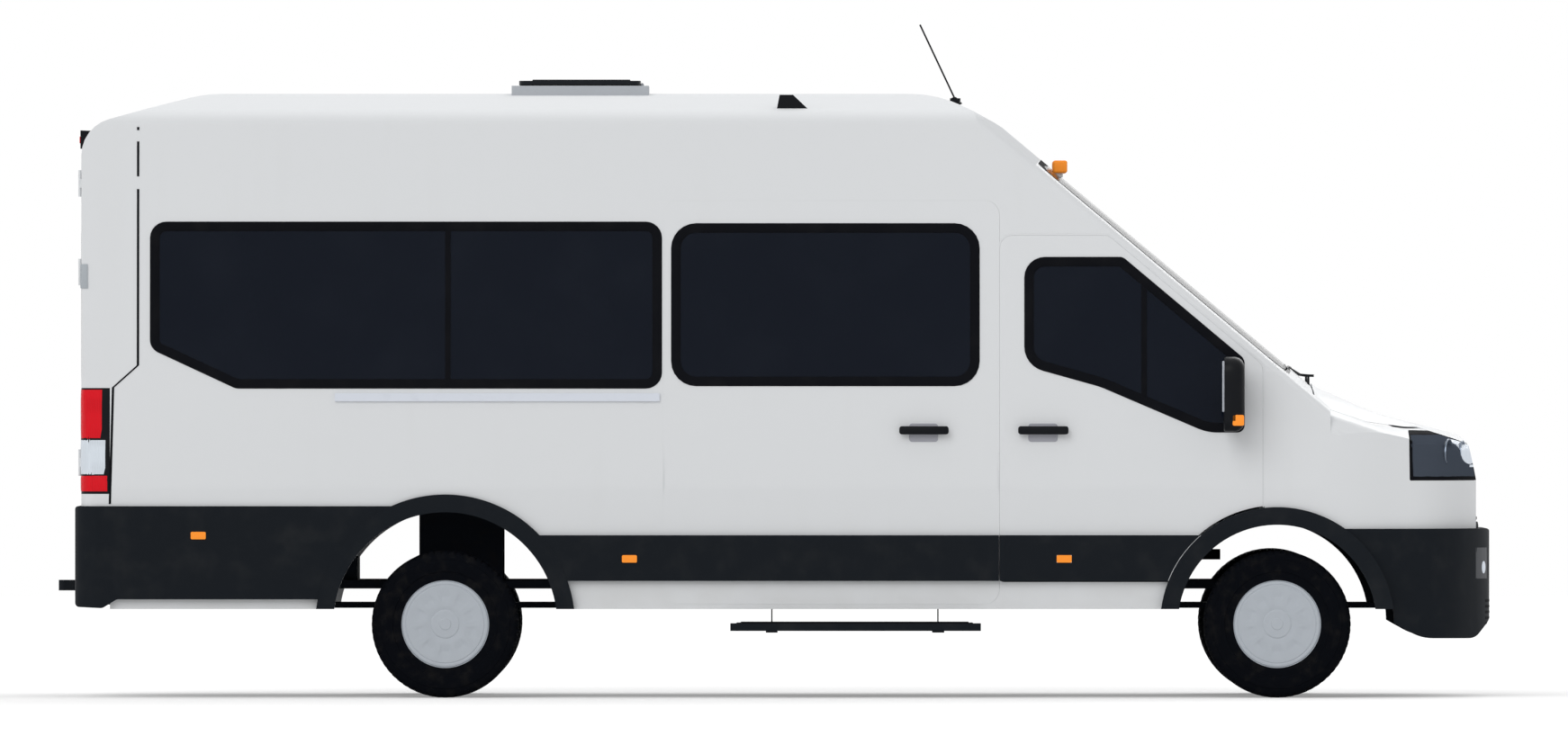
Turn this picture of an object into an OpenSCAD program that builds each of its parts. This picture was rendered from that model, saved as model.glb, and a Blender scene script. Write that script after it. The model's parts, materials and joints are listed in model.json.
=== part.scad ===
// Long-wheelbase, high-roof passenger minibus with side-hinged front doors, a sliding side
// door on the right, twin rear doors, a bonnet, a roof hatch and steered front wheels.
// Millimetres. +X points forward, +Y to the vehicle's left and +Z up. The origin is on the
// ground, on the centreline and half-way along the overall length.

/* [Overall] */
// Distance between the front and rear axles
wheelbase = 3750; // [3120:10:4500]
// Front axle to the face of the front bumper
front_overhang = 970; // [940:5:1170]
// Rear axle to the face of the rear bumper
rear_overhang = 1670; // [1390:5:2010]
// Reach of the tow bar behind the rear bumper
hitch_reach = 95; // [60:5:150]
// Width of the body at the waist, without cladding and mirrors
body_w = 2020; // [1800:10:2430]
// Height of the roof above the ground
roof_z = 2732; // [2400:1:3280]

/* [Wheels] */
// Outer diameter of the tyres
tyre_d = 664; // [560:2:700]
// Width of the tyres
tyre_w = 205; // [175:5:235]
// Outer diameter of the wheel rims
rim_d = 420; // [350:2:450]
// Distance between the middles of the two wheels of an axle
track = 1770; // [1600:10:1800]
// Radius of the rear wheel arches
rear_arch_r = 505; // [440:1:540]
// Radius of the front wheel arches
front_arch_r = 448; // [430:1:470]
// Width of the black trim around the wheel arches
arch_trim_w = 80; // [50:1:90]
// Distance of a steering pivot inboard of the middle of its wheel
scrub = 150; // [145:1:170]

/* [Body] */
// Thickness of the walls, doors and roof
wall_t = 60; // [40:1:70]
// Shut line around doors and lids
shut_gap = 8; // [6:0.5:12]
// Thickness of the window glass
glass_t = 6; // [4:0.5:10]
// Height of the bottom edge of the sills
sill_z = 400; // [360:1:420]
// How far the cladding and bumpers stand proud of the body side
clad_t = 12; // [6:1:20]
// Top of the passenger floor
floor_z = 885; // [870:1:930]
// Top of the cab floor
cab_floor_z = 825; // [818:1:860]
// Thickness of the floors
floor_t = 35; // [20:1:38]
// Rise of the roof's middle above its edges
roof_crown = 85; // [40:1:120]
// Slope of the windscreen
screen_angle = 40; // [36:0.5:46]

/* [Doors and windows] */
// Length of the sliding side door
side_door_l = 1500; // [1250:5:1600]
// Length of a front door
front_door_l = 1186; // [1150:2:1240]
// Bottom edge of the front doors
front_door_z = 530; // [500:1:560]
// Bottom edge of the passenger windows
window_z = 1397; // [1250:1:1450]
// Height of the passenger windows
window_h = 747; // [600:1:780]
// Width of one rear door
rear_door_w = 876; // [720:1:880]
// Bottom edge of the rear doors
rear_door_z = 880; // [870:1:940]

/* [Hidden] */
$fn = 64;
arc_steps = 6;

// ---- Colours ----
paint_c = "#d7d9db";
roof_c = "#eceef0";
clad_c = "#1a1e23";
glass_c = "#161b25";
steel_c = "#3a3d42";
dark_c = "#131519";
rim_c = "#aab0b7";
trim_c = "#bec3cd";
red_c = "#ce1c28";
amber_c = "#f08e32";
lens_c = "#424954";
cloth_c = "#3c4350";

// ---- Lengthwise places, measured from the axles ----
rear_axle_x = (rear_overhang + hitch_reach - wheelbase - front_overhang) / 2;
front_axle_x = rear_axle_x + wheelbase;
back_bumper_x = rear_axle_x - rear_overhang;
front_bumper_x = front_axle_x + front_overhang;
hitch_x = back_bumper_x - hitch_reach;
back_x = back_bumper_x + 29;
nose_x = front_bumper_x - 62;
cowl_x = front_axle_x + 150;
cowl_z = 1420;
door_front_x = front_axle_x - 65;
door_rear_x = door_front_x - front_door_l;
side_door_front_x = door_rear_x - shut_gap;
side_door_rear_x = side_door_front_x - side_door_l;
quarter_x = back_x + 256;
scuttle_x = cowl_x + 18;

// ---- Heights ----
axle_z = tyre_d / 2;
roof_edge_z = roof_z - roof_crown;
roof_seam_z = roof_edge_z - 57;
window_top_z = window_z + window_h;
side_door_z = sill_z + 30;
side_door_top_z = window_top_z + 92;
rear_door_top_z = roof_z - 332;
front_window_top_z = window_top_z - 159;
front_door_top_z = front_window_top_z + 100;
clad_z = 527;
clad_top_z = 733;
rear_clad_z = 444;
rear_clad_top_z = 864;
bumper_top_z = 762;
rail_z = 489;
rail_h = 38;
tray_z = sill_z;
tray_h = 24;
lamp_z = 979;
lamp_top_z = 1207;
bonnet_edge_z = 1104;

// ---- Widths ----
half_w = body_w / 2;
half_sill = half_w - 25;
half_roof = half_w - 85;
waist_z = 950;
hub_y = track / 2;
pivot_y = hub_y - scrub;
rail_y = 470;
rail_w = 80;
door_clearance = shut_gap / 2;
pillar_x = 118;

// Distance of the side wall from the centreline at a height above the waist
function wall_y(z) = half_w - (half_w - half_roof) * (z - waist_z) / (roof_edge_z - waist_z);

// X of the windscreen's line at a height
function screen_x(z) = cowl_x - (z - cowl_z) / tan(screen_angle);

// ---- Outlines ----
function unit(v) = v / norm(v);
function flat(p) = [p[0], p[1]];
function turn(a, b, c) = cross(flat(b) - flat(a), flat(c) - flat(b));

// Points of the arc that rounds corner b, whose third number is its radius
function corner(a, b, c) =
    let (
        u = unit(flat(a) - flat(b)),
        w = unit(flat(c) - flat(b)),
        half = acos(max(-1, min(1, u * w))) / 2,
        r = b[2],
        centre = flat(b) + unit(u + w) * r / sin(half),
        start = flat(b) + u * r / tan(half) - centre,
        from = atan2(start[1], start[0]),
        sweep = (180 - 2 * half) * sign(turn(a, b, c))
    )
    [for (i = [0:arc_steps])
        let (angle = from + sweep * i / arc_steps)
        centre + r * [cos(angle), sin(angle)]];

// Outline with each corner [x, y, r] rounded to its radius
function rounded(p) =
    let (n = len(p))
    [for (i = [0:n - 1])
        each (p[i][2] > 0 ? corner(p[(i + n - 1) % n], p[i], p[(i + 1) % n]) : [flat(p[i])])];

// Counter-clockwise outline moved inwards by t, with its radii kept concentric
function inset(p, t) =
    let (n = len(p))
    [for (i = [0:n - 1])
        let (
            a = p[(i + n - 1) % n],
            b = p[i],
            c = p[(i + 1) % n],
            e1 = unit(flat(b) - flat(a)),
            e2 = unit(flat(c) - flat(b)),
            n1 = [-e1[1], e1[0]],
            n2 = [-e2[1], e2[0]],
            q = flat(b) + t * (n1 + n2) / (1 + n1 * n2),
            r = b[2] == 0 ? 0 : max(turn(a, b, c) > 0 ? b[2] - t : b[2] + t, 1)
        )
        [q[0], q[1], r]];

function box_points(x0, z0, x1, z1, r) = [[x0, z0, r], [x1, z0, r], [x1, z1, r], [x0, z1, r]];

// Prisms of an outline in the side, cross and plan views
module side_prism(p, y0, y1) {
    translate([0, y1, 0]) rotate([90, 0, 0]) linear_extrude(y1 - y0) polygon([for (q = p) flat(q)]);
}
module cross_prism(p, x0, x1) {
    translate([x0, 0, 0]) rotate([90, 0, 90]) linear_extrude(x1 - x0) polygon([for (q = p) flat(q)]);
}
module plan_prism(p, z0, z1) {
    translate([0, 0, z0]) linear_extrude(z1 - z0) polygon([for (q = p) flat(q)]);
}
module block(x0, y0, z0, x1, y1, z1) {
    translate([x0, y0, z0]) cube([x1 - x0, y1 - y0, z1 - z0]);
}
module both_sides() {
    children();
    mirror([0, 1, 0]) children();
}
module across(x, z, r, y0, y1) {
    translate([x, y1, z]) rotate([90, 0, 0]) cylinder(r = r, h = y1 - y0, $fn = r > 100 ? 192 : $fn);
}

// ---- Body volume: its side, cross and plan outlines, moved inwards by t ----
function open_bottom(t) = t > 0 ? sill_z - 300 : sill_z;
top_x = screen_x(roof_z - 275);
function cabin_side(t) = [
    [back_x, open_bottom(t), 0],
    [cowl_x + 90, open_bottom(t), 0],
    [cowl_x + 90, cowl_z - 90 * tan(screen_angle), 0],
    [top_x, roof_z - 275, 120],
    [top_x - 80, roof_z - 187, 150],
    [top_x - 455, roof_z, 550],
    [back_x + 561, roof_z, 600],
    [back_x, roof_z - 157, 170]
];
function nose_side(t) = [
    [cowl_x - 500, open_bottom(t), 0],
    [nose_x - 20, open_bottom(t), 0],
    [nose_x + 22, bumper_top_z, 0],
    [nose_x - 3, 985, 200],
    [nose_x - 48, 1180, 90],
    [cowl_x + 300, 1282, 800],
    [cowl_x, cowl_z, 200],
    [cowl_x - 90, cowl_z + 90 * tan(screen_angle) - 2, 0],
    [cowl_x - 500, cowl_z + 60, 0]
];
roof_curve = [for (i = [3:-1:-3]) let (f = i / 4) [half_roof * f, roof_z - roof_crown * f * f, 0]];
function body_cross(t) = concat(
    [
        [-half_sill, open_bottom(t), 0], [half_sill, open_bottom(t), 0],
        [half_w, waist_z, 300], [half_roof, roof_edge_z, 80]
    ],
    roof_curve,
    [[-half_roof, roof_edge_z, 80], [-half_w, waist_z, 300]]
);
function plan_side(front_x, side_y) = [
    [front_x - 620, side_y, 900], [front_x - 190, side_y - 170, 420], [front_x, side_y - 490, 650]
];
function plan_outline(rear_x, front_x, side_y) =
    let (s = plan_side(front_x, side_y))
    concat(
        [[rear_x, side_y, 70], [rear_x, -side_y, 70]],
        [for (p = s) [p[0], -p[1], p[2]]],
        [for (i = [2:-1:0]) s[i]]
    );

// Everything inside the body's skin moved inwards by t
module body_volume(t = 0) {
    intersection() {
        cross_prism(rounded(inset(body_cross(t), t)), back_x - 100, front_bumper_x + 100);
        plan_prism(rounded(inset(plan_outline(back_x, nose_x + 22, half_w), t)), 0, roof_z + 100);
        union() {
            intersection() {
                side_prism(rounded(inset(cabin_side(t), t)), -half_w - 100, half_w + 100);
                slope_edges(cowl_x, cowl_z, screen_angle, 40, 45, t);
            }
            intersection() {
                side_prism(rounded(inset(nose_side(t), t)), -half_w - 100, half_w + 100);
                slope_edges(cowl_x, cowl_z, 18, 120, 110, t);
            }
        }
    }
}

// Rounds the side edges of the surface through [x, 0, z] that slopes down at an angle
module slope_edges(x, z, slope, drop, r, t) {
    lean = (half_w - half_roof) / (roof_edge_z - waist_z);
    y = wall_y(z) + 2;
    depth = 6000;
    outline = [
        [-y - lean * cos(slope) * depth, -depth, 0], [4000, -depth, 0], [4000, 0, 0],
        [0, 0, 2500], [-500, -0.3 * drop, 2000], [-y - lean * cos(slope) * drop, -drop, r]
    ];
    intersection() {
        slope_prism(x, z, slope, -atan(lean * sin(slope)), rounded(inset(outline, t)));
        mirror([0, 1, 0]) slope_prism(x, z, slope, -atan(lean * sin(slope)), rounded(inset(outline, t)));
    }
}
module slope_prism(x, z, slope, lean_angle, outline) {
    translate([x, 0, z]) rotate([0, slope, 0]) rotate([0, 0, lean_angle]) cross_prism(outline, -8000, 3000);
}
module shell(from = 0, to = wall_t) {
    difference() {
        body_volume(from);
        body_volume(to);
    }
}

// The side walls alone, as thick as a door
module side_walls(to = wall_t) {
    difference() {
        body_volume();
        cross_prism(rounded(inset(body_cross(to), to)), back_x - 200, front_bumper_x + 200);
    }
}

// ---- Regions that divide the shell where the real panels meet ----
side_y = half_w + 100;
front_ring_r = front_arch_r + arch_trim_w;
rear_ring_r = rear_arch_r + arch_trim_w;

module roof_region(g = 0) {
    side_prism([
        [back_x + 96 - g, roof_seam_z - g], [top_x - 330, roof_seam_z - g],
        [top_x - 150, roof_seam_z - 110 - g],
        [screen_x(roof_z - 299) - 60, roof_z - 360 - g],
        [screen_x(roof_z - 299) + 30, roof_z - 299 + 30 * tan(90 - screen_angle) - g],
        [top_x + 60, roof_z + 60], [back_x + 96 - g, roof_z + 60]
    ], -side_y, side_y);
}
module rear_region(g = 0) {
    side_prism([
        [back_x - 60, 200], [back_x + 130 + g, 200], [back_x + 130 + g, 874], [back_x + 144 + g, 1399],
        [quarter_x + g, 1499], [quarter_x + g, roof_seam_z], [back_x + 96, roof_seam_z],
        [back_x + 96, roof_z + 60],
        [back_x - 60, roof_z + 60]
    ], -side_y, side_y);
}
module front_region() {
    side_prism([
        [door_front_x + shut_gap, 200], [front_bumper_x + 60, 200], [front_bumper_x + 60, 1470],
        [door_front_x + shut_gap, 1470]
    ], -side_y, side_y);
}
module scuttle_region() {
    block(door_front_x + shut_gap, -800, 1200, scuttle_x - shut_gap / 2, 800, 1470);
}
bonnet_half = 800;
lamp_y = 515;
module bonnet_region(g = 0) {
    intersection() {
        block(scuttle_x + door_clearance - g, -bonnet_half - g, 1000, nose_x + 60, bonnet_half + g, 1600);
        union() {
            side_prism([
                [scuttle_x - 100, 1290 - g], [nose_x - 330, lamp_top_z + 15 - g],
                [nose_x + 60, lamp_top_z + 8 - g],
                [nose_x + 60, 1560], [scuttle_x - 100, 1560]
            ], -side_y, side_y);
            side_prism([
                [nose_x - 400, lamp_top_z + 30 - g], [nose_x - 90, bonnet_edge_z - g],
                [nose_x + 60, bonnet_edge_z - g],
                [nose_x + 60, 1560], [nose_x - 400, 1560]
            ], -lamp_y + shut_gap - g, lamp_y - shut_gap + g);
        }
    }
}
module grille_region() {
    block(nose_x - 110, -lamp_y, bumper_top_z, nose_x + 60, lamp_y, bonnet_edge_z - shut_gap);
}
module lamp_region(g = 0) {
    both_sides() side_prism(rounded([
        [nose_x - 309 - g, lamp_z - g, 6], [nose_x + 60, lamp_z - g, 0], [nose_x + 60, lamp_top_z - 8 + g, 0],
        [nose_x - 312 - g, lamp_top_z + g, 6]
    ]), -side_y, -lamp_y);
}
module tail_lamp_region() {
    both_sides() block(back_x - 60, -side_y, 919, back_x + 130, -rear_door_w - shut_gap - 6, 1397);
}
module screen_region(depth = 400) {
    top = (roof_z - 299 - cowl_z) / sin(screen_angle);
    translate([cowl_x, 0, cowl_z]) rotate([0, screen_angle, 0])
        plan_prism(rounded([
            [-top, -wall_y(roof_z) + 100, 80], [-96, -wall_y(cowl_z) + 115, 80],
            [-96, wall_y(cowl_z) - 115, 80], [-top, wall_y(roof_z) - 100, 80]
        ]), -depth, 100);
}
module front_arch(r = front_arch_r) { across(front_axle_x, axle_z, r, -side_y - 50, side_y + 50); }
module rear_arch(r = rear_arch_r) { across(rear_axle_x, axle_z, r, -side_y - 50, side_y + 50); }

// Openings in the right-hand side, g larger all round
module side_door_hole(g = 0) {
    outline = box_points(side_door_rear_x, side_door_z, side_door_front_x, side_door_top_z, 60);
    side_prism(rounded(inset(outline, -g)), -side_y, 0);
}
function front_door_points() = [
    [door_rear_x, front_door_z, 20], [door_front_x, front_door_z, 0],
    [door_front_x, cowl_z + (cowl_x - pillar_x - door_front_x) * tan(screen_angle), 60],
    [screen_x(front_door_top_z) - pillar_x, front_door_top_z, 60], [door_rear_x, front_door_top_z, 60]
];
module front_door_hole(g = 0) {
    difference() {
        side_prism(rounded(inset(front_door_points(), -g)), -side_y, 0);
        front_arch(front_ring_r + 8 - g);
    }
}
module rear_window_hole(y0, y1) {
    side_prism(rounded([
        [rear_axle_x - 943, window_z, 60], [side_door_rear_x - 17, window_z, 70],
        [side_door_rear_x - 17, window_top_z, 70],
        [rear_axle_x - 1328, window_top_z, 70], [rear_axle_x - 1328, window_z + 179, 60]
    ]), y0, y1);
}
module middle_window_hole(y0, y1) {
    side_prism(rounded(box_points(
        side_door_rear_x + 30, window_z + 11, side_door_front_x - 85, window_top_z - 7, 110)), y0, y1);
}
module front_window_hole(y0, y1) {
    x0 = door_rear_x + 114;
    x1 = door_front_x - 85;
    top = front_window_top_z;
    side_prism(rounded([
        [x0, window_z + 103, 110], [x0 + 340, window_z + 8, 380], [x1 - 165, 1199, 230], [x1, 1199, 30],
        [x1, cowl_z + (cowl_x - 173 - x1) * tan(screen_angle), 40], [screen_x(top) - 173, top, 40],
        [x0, top, 90]
    ]), y0, y1);
}
module rear_door_hole(g = 0) {
    outline = box_points(-rear_door_w - 4, rear_door_z, rear_door_w + 4, rear_door_top_z, 50);
    cross_prism(rounded(inset(outline, -g)), back_x - 60, back_x + wall_t + 30);
}
module rear_door_glass_hole() {
    cross_prism(rounded(box_points(-rear_door_w + 90, window_z + 20, -100, window_top_z - 20, 60)),
        back_x - 60, back_x + wall_t + 30);
}

// ---- Body panels ----
// Half of the side wall on the right, before its own openings are cut
module side_half() {
    intersection() {
        difference() {
            shell();
            roof_region();
            rear_region();
            front_region();
            screen_region();
            front_arch();
            rear_arch();
            rear_window_hole(-side_y, 0);
            front_door_hole(shut_gap);
        }
        block(back_x - 50, -side_y, 300, cowl_x, 0, roof_z);
    }
}
module side_panel_right() {
    color(paint_c) difference() {
        side_half();
        side_door_hole(shut_gap);
    }
}
module side_panel_left() {
    color(paint_c) mirror([0, 1, 0]) difference() {
        side_half();
        middle_window_hole(-side_y, 0);
    }
}
hatch_x = rear_axle_x + 604;
hatch_l = 621;
hatch_w = 600;
hatch_hole = 46;
module roof_panel() {
    color(roof_c) difference() {
        intersection() {
            shell();
            roof_region();
        }
        block(hatch_x - hatch_l / 2 + hatch_hole, -hatch_w / 2 + hatch_hole, roof_seam_z,
            hatch_x + hatch_l / 2 - hatch_hole, hatch_w / 2 - hatch_hole, roof_z + 50);
    }
}
module rear_frame() {
    color(steel_c) both_sides() rear_hinge(-1, [0]);
    color(paint_c) difference() {
        intersection() {
            shell();
            rear_region();
            block(back_x - 50, -side_y, rear_clad_z, quarter_x, side_y, roof_z);
        }
        rear_door_hole(shut_gap);
        tail_lamp_region();
        tow_slot();
        across(rear_axle_x, axle_z, rear_ring_r, -side_y, side_y);
    }
}
module front_wings() {
    color(paint_c) difference() {
        intersection() {
            shell();
            front_region();
            block(door_front_x, -side_y, 300, nose_x + 50, side_y, 1500);
        }
        scuttle_region();
        screen_region();
        bonnet_region(shut_gap);
        grille_region();
        lamp_region();
        front_arch();
        front_bumper_block();
    }
}
module front_bumper_block() {
    side_prism([
        [front_axle_x, 200], [front_bumper_x + 60, 200], [front_bumper_x + 60, bumper_top_z],
        [front_axle_x, bumper_top_z]
    ], -side_y, side_y);
}
module bulkhead() {
    color(paint_c) {
        difference() {
            intersection() {
                shell();
                scuttle_region();
            }
            screen_region();
        }
        bonnet_hinge(scuttle_x - door_clearance, scuttle_x, [-100, -60, 60, 100]);
        difference() {
            intersection() {
                body_volume(wall_t);
                block(door_front_x + shut_gap, -side_y, cab_floor_z, door_front_x + shut_gap + 25, side_y,
                    cowl_z);
            }
            front_arch();
        }
    }
}
module windscreen() {
    color(glass_c) intersection() {
        shell(0, glass_t);
        screen_region();
    }
}
module side_windows() {
    color(glass_c) intersection() {
        shell(0, glass_t);
        union() {
            rear_window_hole(-side_y, 0);
            middle_window_hole(-side_y, 0);
            mirror([0, 1, 0]) {
                rear_window_hole(-side_y, 0);
                middle_window_hole(-side_y, 0);
            }
        }
    }
}
module sliding_door() {
    color(paint_c) difference() {
        intersection() {
            shell();
            side_door_hole();
        }
        middle_window_hole(-side_y, 0);
    }
}
module sliding_door_rail() {
    x0 = rear_axle_x - 497;
    x1 = side_door_rear_x - 25;
    color(trim_c) difference() {
        side_prism(box_points(x0, window_z - 60, x1, window_z - 24, 0), -wall_y(window_z) - 14,
            -wall_y(window_z) + 40);
        body_volume();
    }
}
step_x0 = side_door_rear_x + 320;
step_x1 = side_door_front_x - 120;
step_well_z = 560;
module floor() {
    cab_x = door_rear_x - 50;
    color(steel_c) difference() {
        intersection() {
            body_volume(wall_t);
            union() {
                block(back_x + wall_t + 8, -side_y, floor_z - floor_t, cab_x, side_y, floor_z);
                block(cab_x - floor_t, -side_y, cab_floor_z - floor_t, cab_x, side_y, floor_z);
                block(cab_x - floor_t, -side_y, cab_floor_z - floor_t, door_front_x + shut_gap + 25, side_y,
                    cab_floor_z);
                block(step_x0 - floor_t, -side_y, step_well_z - floor_t, step_x1 + floor_t, -660 + floor_t,
                    floor_z);
            }
        }
        block(step_x0, -side_y, step_well_z, step_x1, -660, floor_z + 50);
    }
}

// ---- Bumpers and cladding ----
clad_y = half_w + clad_t;
module front_bumper() {
    color(clad_c) difference() {
        intersection() {
            plan_prism(rounded(plan_outline(back_x, front_bumper_x, clad_y)), 200, bumper_top_z);
            side_prism(rounded([
                [front_axle_x + 300, 400, 0], [front_axle_x + 500, 352, 60], [front_axle_x + 650, 268, 200],
                [front_bumper_x - 70, 266, 60], [front_bumper_x + 2, 352, 60],
                [front_bumper_x + 2, bumper_top_z, 20],
                [front_axle_x + 300, bumper_top_z, 0]
            ]), -side_y, side_y);
        }
        plan_prism(rounded(plan_outline(back_x, front_bumper_x - wall_t, clad_y - wall_t)), 100,
            bumper_top_z + 50);
        front_arch(front_ring_r);
    }
}
module rear_bumper() {
    color(clad_c) difference() {
        intersection() {
            plan_prism(rounded([
                [back_bumper_x, -clad_y, 110], [quarter_x, -clad_y, 0], [quarter_x, clad_y, 0],
                [back_bumper_x, clad_y, 110]
            ]), 300, rear_clad_top_z);
            side_prism(rounded([
                [back_bumper_x, 410, 20], [back_bumper_x + 125, 404, 30],
                [back_bumper_x + 190, rear_clad_z, 30],
                [quarter_x, rear_clad_z, 0], [quarter_x, rear_clad_top_z, 0],
                [back_bumper_x, rear_clad_top_z, 15]
            ]), -side_y, side_y);
        }
        body_volume();
        plan_prism([
            [back_bumper_x + wall_t, -clad_y + wall_t], [quarter_x + 50, -clad_y + wall_t],
            [quarter_x + 50, clad_y - wall_t], [back_bumper_x + wall_t, clad_y - wall_t]
        ], 200, rear_clad_top_z + 50);
        rear_arch(rear_ring_r);
        tow_slot();
    }
}
// Cladding strip of the right-hand side between two places and heights
module clad_strip(x0, z0, x1, z1) {
    difference() {
        side_prism(box_points(x0, z0, x1, z1, 0), -clad_y, -half_w + 40);
        body_volume();
        front_arch(front_ring_r);
        rear_arch(rear_ring_r);
    }
}
module arch_ring(x, r_in, r_out) {
    difference() {
        across(x, axle_z, r_out, -clad_y - 2, -half_w + 40);
        across(x, axle_z, r_in, -clad_y - 10, 0);
        body_volume();
        block(x - 900, -side_y, -900, x + 900, 0, sill_z);
    }
}
module side_cladding() {
    color(clad_c) both_sides() {
        clad_strip(quarter_x, rear_clad_z, rear_axle_x, rear_clad_top_z);
        clad_strip(rear_axle_x, clad_z, side_door_front_x + shut_gap - 4, clad_top_z);
        arch_ring(rear_axle_x, rear_arch_r, rear_ring_r);
        arch_ring(front_axle_x, front_arch_r, front_ring_r);
    }
}
module grille() {
    color(clad_c) intersection() {
        shell(0, 40);
        grille_region();
    }
}
module headlamps() {
    color(lens_c) difference() {
        intersection() {
            shell();
            lamp_region();
        }
        bonnet_region(shut_gap);
    }
}
module tail_lamps() {
    color(red_c) intersection() {
        shell();
        tail_lamp_region();
    }
}
brow_x = screen_x(roof_z - 361) - 21;
brow_y = 220;
// Amber lamp on the right-hand cladding
module clad_lamp(x, z) {
    translate([x, -clad_y - 4, z]) cube([67, 4, 33]);
}
module marker_lamps() {
    color(amber_c) both_sides() {
        clad_lamp(rear_axle_x + 797, 610);
        clad_lamp(rear_axle_x - 1146, 715);
        // Clearance lamp on the brow of the roof, on its foot
        difference() {
            union() {
                side_prism(rounded(box_points(brow_x, roof_z - 361, brow_x + 65, roof_z - 304, 12)),
                    -brow_y - 45, -brow_y + 45);
                block(brow_x + 4, -brow_y - 20, roof_z - 460, brow_x + 34, -brow_y + 20, roof_z - 340);
            }
            body_volume();
        }
    }
    color(red_c) difference() {
        side_prism(rounded([
            [back_x - 28, roof_z - 250, 8], [back_x + 75, roof_z - 250, 8], [back_x + 75, roof_z - 166, 8],
            [back_x + 20, roof_z - 166, 20], [back_x - 28, roof_z - 215, 10]
        ]), -70, 70);
        body_volume();
    }
}
step_plate_t = 6;
module side_step() {
    color(dark_c) {
        block(step_x0 - 26, -clad_y - 45, 302, step_x1 + 43, -half_w + 190, 335);
        for (x = [step_x0 + 134, step_x1 - 175]) {
            block(x, -clad_y - 10, 294, x + 53, -rail_y, 302);
            block(x + 24, -rail_y - 50, 294, x + 24 + step_plate_t, -rail_y, rail_z);
        }
    }
}
module tow_slot() {
    block(hitch_x, -33, 469, rail_x0, 33, 533);
}
module tow_bar() {
    color(clad_c) {
        block(back_x + wall_t + 6, -rail_y - 40, 470, rail_x0, rail_y + 40, 530);
        block(hitch_x + 25, -25, 477, back_x + wall_t + 10, 25, 525);
        translate([hitch_x + 25, 0, 477]) cylinder(r = 25, h = 48);
    }
}

// ---- Chassis ----
rail_x0 = back_x + wall_t + 66;
rail_x1 = front_axle_x - 140;
module chassis_frame() {
    color(steel_c) {
        difference() {
            union() {
                for (s = [-1, 1])
                    block(rail_x0, s * rail_y - rail_w / 2, rail_z, rail_x1, s * rail_y + rail_w / 2,
                        rail_z + rail_h);
                for (x = [rail_x0 + 60, rear_axle_x + 900, rear_axle_x + 1800, rear_axle_x + 2700,
                    rail_x1 - 80])
                    block(x, -rail_y, rail_z, x + 80, rail_y, rail_z + rail_h);
                block(rear_axle_x - 500, -rail_y, rail_z, rear_axle_x - 404, rail_y, 631);
                // Spring towers and outriggers that carry the floor
                for (s = [-1, 1]) {
                    block(rear_axle_x - 122, s * rail_y - 60, rail_z, rear_axle_x + 254, s * rail_y + 60,
                        floor_z - floor_t);
                    block(rear_axle_x + 700, s * rail_y - 40, rail_z, rear_axle_x + 780, s * rail_y + 40,
                        floor_z - floor_t);
                    block(door_rear_x + 100, s * rail_y - 40, rail_z, door_rear_x + 180, s * rail_y + 40,
                        cab_floor_z - floor_t);
                }
            }
        }
        block(rail_x0 + 60, -300, tray_z, front_axle_x + 620, 300, tray_z + tray_h);
        for (x = [rail_x0 + 60, rear_axle_x + 900, rear_axle_x + 2700])
            block(x + 10, -300, tray_z + tray_h, x + 70, 300, rail_z);
    }
}
beam_r = 40;
spindle_r = 28;
hub_gap = 0.3;
module rear_axle() {
    color(steel_c) {
        across(rear_axle_x, axle_z, beam_r, -hub_y + 120, hub_y - 120);
        across(rear_axle_x, axle_z, spindle_r, -hub_y - 40, hub_y + 40);
        for (s = [-1, 1]) {
            // Spring seat and coil spring up to the rail
            translate([rear_axle_x, s * rail_y, axle_z]) cylinder(r = 55, h = rail_z - axle_z - hub_gap);
            // Trailing arm
            trailing_arm(rear_axle_x, axle_z, rear_axle_x + 270, rail_z - 26 - hub_gap, s * rail_y - 20,
                s * rail_y + 20);
        }
    }
}
module trailing_arm(x0, z0, x1, z1, y0, y1) {
    side_prism(rounded([[x0, z0 - 22, 8], [x1 + 26, z1 - 26, 20], [x1 + 26, z1 + 26, 20],
        [x0, z0 + 22, 8]]), y0, y1);
}
pin_r = 16;
eye_r = 34;
arm_z = [215, 430];
module front_suspension() {
    color(steel_c) difference() {
        union() {
            // Cross member between the wheels
            block(front_axle_x - 200, -520, 300, front_axle_x + 200, 520, 400);
                for (s = [-1, 1]) block(front_axle_x - 200, s * 415 - 105, 300, front_axle_x - 140,
                    s * 415 + 105, rail_z);
            for (s = [-1, 1], z = arm_z) {
                translate([front_axle_x, s * pivot_y, z]) cylinder(r = eye_r, h = 36);
                for (e = [-1, 1]) plan_arm(front_axle_x, s * pivot_y, front_axle_x + e * 150, s * 480, z);
            }
            for (s = [-1, 1]) block(front_axle_x - 190, s * 480 - 40, arm_z[0], front_axle_x + 190,
                s * 480 + 40, arm_z[1] + 36);
        }
        for (s = [-1, 1]) translate([front_axle_x, s * pivot_y, 0]) cylinder(r = pin_r + hub_gap, h = 800);
    }
}
module plan_arm(x0, y0, x1, y1, z) {
    angle = atan2(y1 - y0, x1 - x0);
    translate([x0, y0, z]) rotate([0, 0, angle]) translate([0, -18, 0])
        cube([norm([x1 - x0, y1 - y0]), 36, 36]);
}
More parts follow.
